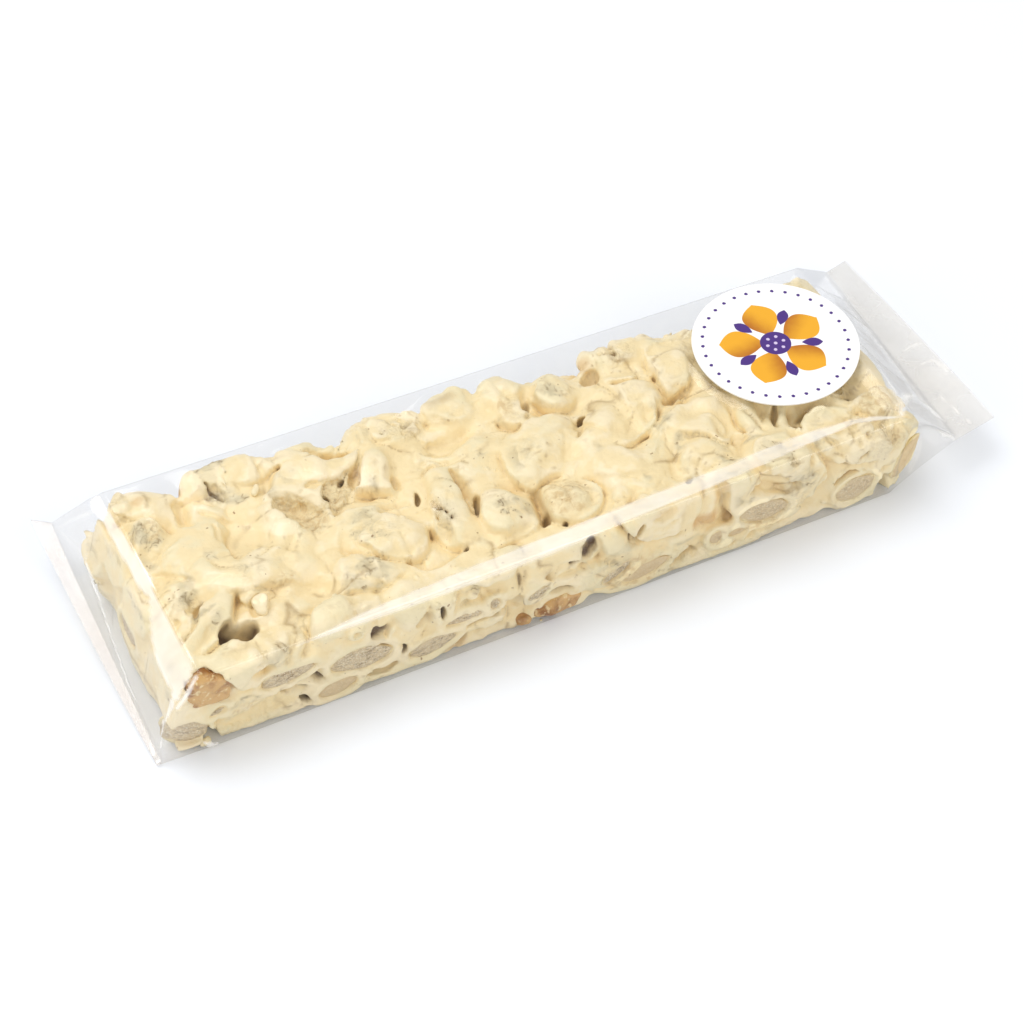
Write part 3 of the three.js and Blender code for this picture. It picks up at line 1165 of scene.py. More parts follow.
class PulledLine(NamedTuple):
    """A ledge, a raised string or a crease in the nougat.

    The line runs through its points, X and Y on the top or X and Z on the near face. A ledge is
    high on the left of its line and drops sharply to the right, or the other way about where its
    height is negative.
    """

    kind: Pull
    height: float
    width: float
    points: tuple[Pair, ...]

    def trace(self) -> Array:
        """A smooth curve through the points, with a place every half millimetre or so."""
        knots = np.array(self.points, float)
        padded = np.vstack([2 * knots[0] - knots[1], knots, 2 * knots[-1] - knots[-2]])
        places = []
        for a, b, c, d in zip(padded, padded[1:], padded[2:], padded[3:]):
            count = max(int(np.hypot(*(c - b)) / 0.5), 2)
            t = (np.arange(count) / count)[:, None]
            square, cube = 2 * a - 5 * b + 4 * c - d, 3 * b - a - 3 * c + d
            places.append(0.5 * (2 * b + (c - a) * t + square * t**2 + cube * t**3))
        return np.vstack([*places, knots[-1:]])

    def profile(self, u: Array, v: Array) -> Array:
        """How far the surface is moved out at each point of the plane it lies in."""
        line = self.trace()
        step = np.gradient(line, axis=0)
        step /= np.linalg.norm(step, axis=1, keepdims=True) + 1e-9
        du = u[..., None] - line[:, 0]
        dv = v[..., None] - line[:, 1]
        nearest = np.argmin(du * du + dv * dv, axis=-1)
        du = np.take_along_axis(du, nearest[..., None], -1)[..., 0]
        dv = np.take_along_axis(dv, nearest[..., None], -1)[..., 0]
        tangent = step[nearest]
        aside = np.sign(self.height) * (tangent[..., 0] * dv - tangent[..., 1] * du)
        beyond = np.abs(tangent[..., 0] * du + tangent[..., 1] * dv)
        ends = np.minimum(nearest, len(line) - 1 - nearest) * 0.5
        fade = smoothstep(ends, -0.5, 2.5) * (1.0 - smoothstep(beyond, 0.6, 2.0))
        far = np.exp(-((np.hypot(du, dv) / self.width) ** 2))
        if self.kind is Pull.LEDGE:
            left = smoothstep(aside, -0.35, 0.25)
            drop = left - 0.75 - 0.25 * np.exp(-(((aside + 0.6) / 0.5) ** 2))
            return abs(self.height) * fade * far * drop
        return self.height * fade * far * (1.0 if self.kind is Pull.STRING else -1.0)


def ledge(height: float, width: float, *points: Pair) -> PulledLine:
    """A ledge through points."""
    return PulledLine(Pull.LEDGE, height, width, points)


def string(height: float, width: float, *points: Pair) -> PulledLine:
    """A raised string through points."""
    return PulledLine(Pull.STRING, height, width, points)


def crease(height: float, width: float, *points: Pair) -> PulledLine:
    """A crease through points."""
    return PulledLine(Pull.CREASE, height, width, points)


TOP_ALMONDS = rows(
    Almond,
    (-93, 27, 27.2, 9, 6.5, 12), (-71, 27.5, 28.7, 11.5, 6.5, -3, 0, 1), (-86, 21, 26.2, 7, 4, -35),
    (-94.5, 17.5, 27.2, 9, 5.5, 58), (-103, 16, 24.5, 8, 5, 80), (-104, -1, 24, 8, 5, 95),
    (-84.5, 7.5, 27.6, 12, 6, 50, 0, 2.4), (-76, -4, 28.2, 14, 6.5, -12, 0, 1.4),
    (-96.5, -4, 26.8, 8, 4, 62, 0, 1.2), (-91.5, -14, 27.8, 12, 5, 38, 0, 1), (-101, -23, 25.5, 8, 5, 72),
    (-87.5, -28.5, 26.8, 8.5, 4.5, -4), (-79, -10, 26.6, 6, 3.5, 25, 0, 0.8), (-73.5, -26, 25.6, 7, 5, 30),
    (-60, -25.5, 28.3, 11.5, 5.5, 4, 0, 0.9), (-50, -17, 28, 12, 5.5, -6, 0, 0.8),
    (-57, -5.5, 25.8, 8, 5, 30), (-39.5, -8.5, 28.6, 11.5, 7.5, -14, -3, 0.5),
    (-59, 8, 28.6, 11.5, 9.5, -50, 0, 0.8), (-67, 20.5, 26, 8, 3.5, 22, 0, 0.8),
    (-48.5, 18.5, 28.3, 12.5, 5, -7, 0, 0.9), (-51, 26.5, 25.8, 10, 4, 6), (-33, 26, 28.4, 6.5, 5.5, 85),
    (-44, 2, 27, 9.5, 4.5, 22), (-35, 12, 28.6, 7.5, 6, 80, 0, 0.7), (-22.5, 24.5, 27.4, 9, 6.5, 5),
    (-22, -3, 28.6, 12.5, 4.8, 76, 0, 0.8), (-24, -14.5, 27, 8, 5, -32, 0, 1),
    (-9.5, -12.8, 28.8, 10, 8, -12, 0, 0.7), (-7.5, 24.5, 28.5, 8, 5.8, 0, 0, 0.6),
    (-8, 3.5, 27.4, 9, 8, 30, 0, 2.4), (5, 0.5, 28.2, 12, 7, 25, 0, 2), (6.5, 15, 27.8, 7, 4.6, 62, 0, 0.7),
    (6, 24.5, 28.2, 7, 5.5, 80, 0, 1), (14, 6.5, 27.8, 8, 5.5, 20, 0, 2),
    (19.5, 18.5, 28.2, 8, 5.5, 72, 0, 1), (7.3, -15.5, 28.9, 9, 7.8, -8, 0, 0.6),
    (28.5, 6, 28.2, 13, 5.5, 52, 0, 1), (21, -4.5, 27.2, 9, 6, 70, 0, 2),
    (27, -13.5, 28.2, 13, 8, 8, 0, 2.4), (40, 9, 28.5, 8.5, 8, 10, 0, 1.2),
    (40, 24, 27, 8, 4.2, -14, 0, 0.8), (52, 23.5, 26, 7, 4, 12), (55.5, 15.5, 28.4, 13, 5.5, 42, -3, 0.6),
    (43, -2.5, 27.2, 9, 4.5, 24, 0, 1), (47, -9.5, 27.6, 7, 5, 5, 0, 1), (46, -17.5, 28, 7.5, 5, 14, 0, 1),
    (57, 2.5, 27.4, 9, 5.5, 60, 0, 1.2), (62.5, -9.5, 27.4, 10, 3.6, 72, 0, 0.7),
    (60, -20, 26.6, 9, 4.5, 34, 0, 1), (68, -16, 26.2, 9.5, 3.6, 62, 0, 0.7),
    (80, -20.5, 27.6, 10, 5, 14, 0, 0.8), (86, -13, 26.6, 8, 4, -62, 0, 0.8),
    (96, -21, 27.2, 7, 5.5, 10, 0, 0.8), (99, -6, 26.2, 9, 5.5, 62), (99, 25, 27.4, 7, 5.5, 20),
    (101, 11, 27, 9, 5.5, 85), (71, 19, 28.2, 11, 6, 15), (87, 21, 28.2, 10, 6, -20),
    (73, 4, 28.4, 11, 7, 50), (89, 7, 28.4, 11, 7, -30), (80, -6, 28.2, 11, 6, 10),
)

NEAR_ALMONDS = rows(
    Almond,
    (-66, -28.2, 10.4, 6.5, 4, 0, 0, 0.5), (-88, -28, 14, 9.5, 4.4, 2, -6, 0.6),
    (-105, -25, 18.5, 7, 6.5, 60, 0, 0.8), (-54, -27, 17, 8, 5.5, 0, 10, 0.9),
    (-31, -27.5, 18, 9, 4.5, 3, -14, 0.9), (-12, -27.2, 20, 10, 5, -2, 6, 1),
    (-20, -26.5, 26.5, 10, 5.2, 4, 0, 1.2), (-44, -26.5, 25.5, 8, 5, -8, 0, 1),
    (15, -27.5, 24.5, 8, 5, 10, 20, 0.8), (27, -26.5, 27.4, 8.5, 4.6, 2, -20, 0.7),
    (17.5, -28.4, 18.6, 6.5, 4.6, 0, -16, 0.8), (26, -27.6, 24.5, 8.5, 5.4, 0, 12, 0.8),
    (32, -27.8, 16.5, 8, 4.2, 0, 8, 0.9), (70, -28.2, 19.6, 7.5, 5.2, 0, 48, 0.7),
    (-36, -28.4, 23.5, 5, 3.6, 0, 60, 0.8), (-72, -28.6, 22, 9, 4.6, 0, 10, 1),
    (8.5, -28.6, 14.4, 8, 3.6, 0, 14, 0.9), (-22, -28.6, 10.8, 8, 3.4, 0, 8, 0.8),
    (50, -26.8, 27.2, 7.5, 5.2, -4, -16, 0.7), (54, -28, 20.5, 8.5, 4.2, -2, -34, 0.5),
    (66, -26.2, 27.4, 12, 5.6, -4, -40, 0.7), (60, -28.2, 11, 9.5, 3.6, 0, -8, 0.6),
    (79, -26.6, 25, 9, 5, -8, -36, 0.7), (90, -26, 25.5, 8, 5, 10, -20, 0.8),
    (96, -26.5, 18.5, 7, 5, 20, 0, 0.8),
)

TOP_LINES = (
    ledge(1.6, 3, (-86.5, 24), (-84, 25), (-79, 24), (-75, 25), (-73.5, 24.5), (-71.5, 20.5)),
    string(1.5, 1.2, (-66, 15.5), (-60, 16.5), (-55, 14), (-51.5, 10.5), (-50.5, 5.5), (-52, 1)),
    ledge(1, 2.6, (-81.5, 20.5), (-78.5, 18.5), (-76, 16), (-72.5, 13.5)),
    crease(1.5, 1.1, (-86, 24), (-84, 21), (-84.5, 17), (-82.5, 15)),
    ledge(1.6, 4.4, (-78, -1), (-78.5, 4.5), (-77.5, 9), (-75.5, 12), (-78, 14.5)),
    crease(0.9, 0.5, (-79, 14), (-79, 10.5), (-80, 6.5)),
    ledge(0.9, 2.4, (-89, 14.5), (-90, 17.5), (-92.5, 20.5), (-96.5, 21.5), (-99, 23.5)),
    crease(0.8, 0.6, (-97, 19), (-99.5, 16.5), (-100.5, 12)),
    ledge(-1, 2.6, (-90.5, -2), (-93, 1), (-96, 4.5), (-99, 6)),
    string(0.6, 0.6, (-97, 5), (-97.5, 2.5), (-99.5, 1)),
    ledge(1.3, 2.6, (-49.5, 26), (-46.5, 26.5), (-43, 24.5), (-39.5, 22.5), (-37.5, 21)),
    crease(0.6, 0.5, (-52, 22.5), (-48, 23), (-44, 21.5), (-41, 20.5)),
    ledge(1.3, 2.4, (-56, 12.5), (-52, 15.5), (-47, 14.5), (-42, 14.5)),
    ledge(1.3, 2.4, (-42.5, 15), (-39.5, 15.5), (-37.5, 18), (-36.5, 20.5)),
    ledge(2.2, 2.6, (-42.5, 9), (-39, 7.5), (-36, 6), (-32.5, 4.5)),
    crease(2, 1.3, (-41.5, 9.5), (-40.5, 13), (-38.5, 15.5)),
    ledge(1.2, 2.6, (-30, -1.5), (-38.5, 1), (-44.5, 3), (-47.5, 3.5), (-51, 2.5)),
    ledge(
        1.9, 3.4, (-43, -3.5), (-48, -7.5), (-46.5, -10.5), (-45, -14), (-41.5, -16.5), (-37.5, -17.5),
        (-34, -16), (-31, -11.5), (-29, -8),
    ),
    ledge(2.6, 3.6, (-30, -8), (-28.5, -12.5), (-27.5, -16), (-23.5, -19)),
    ledge(2.2, 3.6, (-24, -19.5), (-29, -21), (-33, -22.5), (-36.5, -22), (-39.5, -18.5)),
    crease(0.9, 0.6, (-24.5, -2), (-25, -5), (-26.5, -8), (-27, -11), (-24.5, -12.5)),
    crease(0.8, 0.5, (-25, -5), (-24.5, -9), (-22.5, -12.5)),
    crease(0.9, 0.6, (-23, 9), (-20, 10.5), (-15.5, 6)),
    crease(0.9, 0.7, (-25, 5.5), (-21, 8), (-17.5, 6.5)),
    crease(1.9, 1.2, (-16.5, 5), (-16.5, -1), (-16.5, -5.5), (-17, -11.5)),
    ledge(1.5, 3.2, (-19, 18), (-17.5, 15), (-16, 13), (-12, 11)),
    string(0.8, 0.9, (-12.5, 23), (-9.5, 19.5), (-6, 18.5), (-3.5, 20), (-2.5, 23)),
    string(0.9, 0.8, (8, 20), (10, 17), (8.5, 13.5), (5.5, 12), (4, 14.5), (5, 18), (7.5, 20)),
    crease(1.2, 0.8, (2, 16), (2, 12.5), (4, 10), (7.5, 11), (10.5, 14)),
    ledge(1.5, 4, (-3, 5), (-4, 0), (-4, -3.5), (-3, -7), (0, -9.5), (3, -8.5), (6.5, -7), (10, -7.5)),
    string(0.5, 0.6, (-2, 3), (-2.4, -1), (-1.6, -5), (1, -8)),
    crease(0.45, 0.5, (9, 6), (15, 3.5), (14, 0.5), (11, -5)),
    crease(2.2, 1.3, (0, -8.5), (0, -13), (-0.5, -16), (-2, -21)),
    ledge(
        1.5, 2.6, (2, -10), (0.2, -13), (-0.5, -16.5), (0.5, -20), (3, -22.5), (7, -24), (11, -23.5),
        (14.5, -20.5), (15.5, -16), (13, -11),
    ),
    crease(0.9, 0.7, (6, -9.5), (7, -13), (7, -15.5), (4.5, -19)),
    crease(0.8, 0.7, (9.5, -14.5), (12.5, -17.5), (11, -21)),
    crease(0.7, 0.6, (2.5, -13.5), (5, -17)),
    ledge(1.3, 3, (26, -6.5), (30, -7), (34, -5), (37.5, -3.5), (40.5, 0), (42, 5)),
    ledge(1.8, 3, (47.5, 13), (46.2, 9), (46, 6), (47.5, 3.5), (51, 4), (55.5, 8)),
    ledge(1.4, 2, (34, 16), (38, 14.5), (41, 13.5), (43.5, 15.5)),
    crease(0.6, 0.6, (47, 1.5), (43, -1), (41, -4.5)),
    ledge(1.5, 2.6, (42, -9), (44.5, -11), (46.5, -11.8), (49, -13.5), (51, -17), (53.5, -16), (56, -12.5)),
    string(0.7, 0.7, (50.5, -6), (53, -7.5), (54.5, -10.5), (53.5, -13.5)),
    crease(0.9, 0.6, (60, -4), (58.5, -10.5), (59, -13.5), (60.5, -17)),
    crease(1, 0.7, (62, -6), (63, -14), (64, -18)),
    crease(1.6, 0.9, (69.5, -10), (68, -14.5), (67.5, -18.5)),
    ledge(1.3, 2.2, (72.3, -21), (71.5, -17.5), (72.8, -12)),
    ledge(-2, 3.2, (71.5, -21), (75, -18), (80.5, -14.5)),
    crease(0.8, 0.6, (51.3, -16.5), (52.6, -21.5)),
    ledge(1.6, 3.6, (-88, -20), (-85.5, -14), (-82.5, -9)),
    ledge(-1.2, 2.6, (-102, -21), (-96.5, -18), (-94, -14.5), (-92.5, -9)),
    ledge(1.8, 3.6, (-60, -20.5), (-65.5, -22.5), (-68.5, -24.5), (-70.5, -29)),
    ledge(-1.2, 2.4, (-87, -19.5), (-91.5, -22), (-97, -24.5)),
    crease(1, 0.8, (-76, -12), (-80.5, -14.5), (-81, -19)),
    ledge(0.9, 2.4, (-58, -20.5), (-52.5, -22), (-46, -22.5), (-41, -20.5)),
    string(0.5, 1, (-84, 4), (-79, 3), (-72, 0.5), (-66, -3), (-63, -8)),
    ledge(1.3, 4, (-85, -9), (-79, -10.5), (-73, -10.5), (-66, -12.5), (-60.5, -16)),
    ledge(0.6, 2.4, (16, -12), (20, -15.5), (26, -17), (33, -18.5)),
    ledge(1.2, 2.2, (17, 22), (14.5, 18), (16, 13), (21, 12), (24.5, 14.5)),
    ledge(0.9, 2.4, (20, 9.5), (23, 3), (26, -2)),
    ledge(1, 2.6, (-18.5, -22.5), (-12, -22), (-5, -21), (-1.5, -17.5)),
    ledge(0.9, 2.4, (-14.5, -9), (-17, -13), (-16.5, -17), (-12, -21)),
    ledge(1.2, 2.6, (-70, 24), (-64, 22), (-58, 23.5), (-53, 25.5)),
    string(0.6, 0.9, (-104, 24), (-100, 22.5), (-95, 23), (-90, 22)),
    ledge(1.1, 2, (48, 22), (47, 13.5), (51, 9)),
)

NEAR_LINES = (
    ledge(-2.4, 3.6, (65, 30), (69, 27.9), (72.8, 24.2), (76.5, 17), (73.7, 12.3), (68.5, 11.4)),
    ledge(2.6, 3.4, (45, 28.6), (45.2, 24), (46.8, 17.1), (49, 13), (53, 9.6)),
    string(1.3, 1.3, (48.4, 25), (51.4, 25.6), (55.6, 25), (62.7, 20.7), (67.5, 13)),
    crease(1.2, 0.7, (49.4, 21), (54, 21.6), (60.5, 18.8), (65, 12.5)),
    crease(0.8, 0.5, (60, 16.6), (64.4, 12.4), (68, 8.6)),
    crease(0.7, 0.5, (59, 8.8), (64, 7.4), (70, 8)),
    ledge(2.4, 3.4, (14.6, 27.6), (15.6, 24), (18.4, 20), (22.4, 16.8), (28, 15.6), (33, 16.4)),
    crease(1.2, 0.8, (22, 25.6), (27, 24.4), (31.6, 25.2)),
    ledge(1.4, 2.2, (8.6, 25), (9.6, 20), (10, 15.6), (7.6, 12.6)),
    ledge(-1, 2, (29.6, 10.6), (25, 10.6), (20, 9.2), (16, 5.4)),
    ledge(-1.2, 2.2, (-4, 14), (2, 13.4), (8, 14.4), (13, 13.2)),
    ledge(1.6, 2.4, (78, 9), (80, 13), (84.5, 14.4), (90.6, 13)),
    ledge(-1.2, 2, (-30, 9), (-24, 9.6), (-17, 8.4), (-12, 6.4)),
    ledge(1.4, 2.4, (-48, 21), (-50.4, 17), (-48, 13.4), (-44.6, 10.6)),
    string(0.9, 1, (-74, 12), (-69, 14), (-66.6, 17.6), (-62, 19.2)),
    crease(0.9, 0.6, (-76, 11.6), (-70.6, 12.6), (-68, 15.4)),
    ledge(1.2, 2, (-93, 12), (-86, 10.4), (-79, 11), (-74.6, 13)),
    crease(1.5, 0.6, (60, 5.4), (65.5, 4.8), (69.5, 4.2)),
    ledge(1.3, 2.2, (15.2, 27), (15.4, 24.5), (17.5, 22.2), (20, 21.5), (25, 21), (31, 23.5)),
    crease(1.3, 0.8, (-17.5, 17), (-17.8, 14), (-16.8, 11.5)),
    crease(1.1, 0.5, (-15, 19), (-14.4, 17)),
    ledge(-0.9, 1.8, (-25, 22), (-25.5, 20.5), (-28, 18.5), (-31, 18.2)),
    crease(0.5, 0.5, (-3, 13), (1, 12.4), (5, 13)),
    crease(0.5, 0.5, (2, 11), (5, 10.6), (9, 12)),
    ledge(0.9, 2.6, (76, 20), (84, 17.5), (90, 16.5), (96, 18)),
    crease(0.6, 0.6, (82, 22), (88, 19.5), (93, 21.5)),
    ledge(0.8, 1.8, (-92, 20), (-91, 17.5), (-89, 16.2), (-84, 17)),
    crease(0.4, 0.4, (-96, 6), (-90, 8.4), (-84, 8.6), (-80, 8)),
    crease(0.4, 0.4, (-93, 4.5), (-88, 6.2), (-81, 5.6)),
    crease(0.4, 0.5, (-90, 10.6), (-86, 10.2), (-80.5, 10.6)),
)

# Each row's last number is how much painted shade darkens the hollow's walls; below 0.16 it also widens its
# rounded edge.
HOLLOWS = rows(
    Hollow,
    (-86.6, -22.4, 24, 4.4, 3, 6.4, 22), (-89.6, -21.8, 23.6, 3.6, 2.8, 4.6, 40, 0, 2.6),
    (-81.2, -21.6, 26.6, 4.6, 2.4, 3, 14, 0, 0.3), (-61.6, 7.4, 24.6, 4.4, 1.3, 3.6, -40, 0, 0.8),
    (-57.8, 8, 27.4, 8.4, 4.4, 4.2, -52, 0, 0.17), (-50.3, 9.8, 25, 2, 0.9, 4.5, 75, 0, 0.9),
    (-44, 13.8, 25.6, 2.2, 0.7, 3.2, 35, 0, 0.7), (-47, 10.8, 27, 4.4, 2.6, 3, 20, 0, 0.25),
    (-40.6, 12.2, 26, 3, 0.7, 3, 84, 0, 0.35), (-30.4, 8.4, 26.6, 1.8, 1, 2.2, 60, 0, 0.25),
    (-28.8, 0.8, 25.6, 2.6, 0.5, 3, 70, 0, 0.5), (-16.4, -8.4, 24.8, 4, 0.6, 4.2, 66, 0, 0.6),
    (-16.9, -1, 26.2, 5.2, 0.6, 3, 86, 0, 0.5), (-30, -15.5, 26.4, 5.4, 3, 3.4, 58, 0, 0.12),
    (-34, -19, 27, 4.2, 1.8, 2.8, 10, 0, 0.1), (-24.8, -18.8, 25.6, 1.4, 0.6, 3, 40, 0, 0.8),
    (-25.3, -7.2, 27.6, 5, 0.5, 2.2, 104, 0, 0.7), (-1, -18.6, 24.6, 2.4, 0.8, 5, 58, 0, 0.7),
    (2.2, -22.2, 25.6, 0.9, 0.5, 2.6, 40, 0, 0.5), (11, 15.6, 25.6, 2.8, 0.9, 4, 48, 0, 0.6),
    (22.6, 7, 24.8, 1.4, 1, 5.2, 40, 0, 0.7), (20.4, 4, 27, 4, 0.9, 2.4, 60, 0, 0.2),
    (-84.2, 29.6, 24, 1.4, 2.6, 6, 0, 0, 0.3), (-75.2, 24.2, 26.6, 3, 0.7, 3, -56, 0, 0.5),
    (-84.6, 20.5, 26, 1, 3.4, 2.2, 0, 0, 0.1), (-17.2, 15.4, 25.6, 1.4, 0.9, 1.6, 60, 0, 0.2),
    (-12, 13.5, 26.4, 7, 3.2, 3.4, -6, 0, 0.05), (93, -17.2, 25.4, 1.2, 0.9, 4, 60),
    (90.6, -14, 25.6, 1, 0.7, 3.4, 20), (38, -23, 26, 1.1, 0.5, 3, 50, 0, 0.8),
    (31.5, 19, 25.4, 4.4, 2.4, 2.6, 30, 0, 0.2), (72.6, -20.2, 25.2, 0.8, 2.6, 3.4, 0, 0, 0.3),
    (69, -13.5, 25.6, 5, 0.9, 3.2, 58, 0, 0.4), (77, -15.6, 25.6, 4.6, 0.9, 3, 22, 0, 0.4),
    (-72, 8.5, 27.4, 5.4, 6, 3.6, 10, 0, 0), (-66, -16, 27.4, 6, 3.6, 3, 10, 0, 0),
    (-93.4, -10.4, 26.6, 4.6, 0.6, 2.8, 62, 0, 0.7), (47.5, 4.6, 26.4, 4.6, 0.8, 2.6, 8, 0, 0.25),
    (-53.6, -31, 18.2, 3.9, 4.6, 1.7, 0, 18, 1.6), (-41.8, -31, 18, 2, 4.2, 1.9, 0, 20, 0.6),
    (-36.8, -30.8, 18.8, 0.9, 3.4, 3, 0, 0, 0.7), (-46.4, -30.8, 9.6, 1.7, 4, 1.5, 0, 10, 0.7),
    (-69.8, -30.8, 11.8, 3.4, 4, 1, 0, 0, 1.4), (-76.2, -30.8, 8.8, 3.5, 4, 1.2, 0, 12, 0.8),
    (-73, -30.8, 4.8, 2.5, 4, 1.8, 0, -12, 1.2), (5.9, -31, 18.2, 2.3, 5, 3.2, 0, -12, 2.6),
    (5.4, -31, 20.4, 2.5, 4, 1.5, 0, -16, 2.6), (1.9, -31, 15.9, 1.7, 4, 1.1, 0, 34, 2.4),
    (5.8, -31.4, 24.4, 2.2, 1.6, 1.6, 0, 0, 0.3), (-2.4, -30.8, 9.4, 3.4, 3.4, 1, 0, 12, 0.8),
    (34.2, -30.8, 4.2, 3.6, 3.6, 0.8, 0, 18, 0.8), (41.6, -30.8, 15.4, 3.7, 2.4, 2, 0, 10, 0.3),
    (44.8, -31, 21.8, 0.9, 2.2, 4.6, 0, 6, 0.3), (9, -30.8, 6.6, 0.9, 1.4, 0.8, 0, 0, 0.5),
    (66, -30.8, 4.8, 3.4, 2.4, 0.5, 0, 6, 0.8), (51.6, -31.2, 27, 0.8, 2.2, 1.4, 0, 20, 0.7),
    (-14, -31.4, 18, 0.5, 2.2, 1.2, 0, 0, 0.8), (-52.6, -30.4, 5.4, 4.6, 2.6, 1.9, 0, 2, 0.5),
    (-30.6, -30.6, 3.2, 3.4, 2.6, 1.9, 0, 8, 0.5), (-20.8, -30.6, 3.4, 5.6, 3, 2, 0, 2, 0.4),
    (-41.4, -30.4, 3, 3.4, 2.2, 1.3, 0, 4, 0.5), (7.5, -31.4, 0.4, 3, 2.6, 1, 0, 0, 0.15),
    (-9.8, -30.8, 0.1, 1.4, 3, 1.8, 0, 0, 0.15), (77.2, -31.4, 0.6, 3.2, 4, 3.8, 0, 0, 0.2),
    (93.6, -31.2, 3, 2.2, 4.4, 5.2, 0, 0, 0.25), (-98.6, -30.4, 1, 2.4, 5, 5.4, 0, 0, 0.2),
    (86.7, -31, 20, 0.6, 2, 0.5, 0, 0, 0.9), (91.7, -31, 25, 0.6, 2, 0.6, 0, 0, 0.9),
    (94.8, -31, 19.4, 0.5, 2, 0.9, 0, 0, 0.8), (84.5, -30.8, 24.6, 0.6, 2, 0.5, 0, 0, 0.8),
    (64.6, -31, 4.6, 3.8, 2.6, 0.5, 0, -6, 0.9), (18.6, -30.4, 21, 0.8, 3, 4.6, 0, -40, 0.5),
    (-98.4, -31.2, 20.6, 6.3, 4.2, 4.6, 0, -10, 0.17),
)

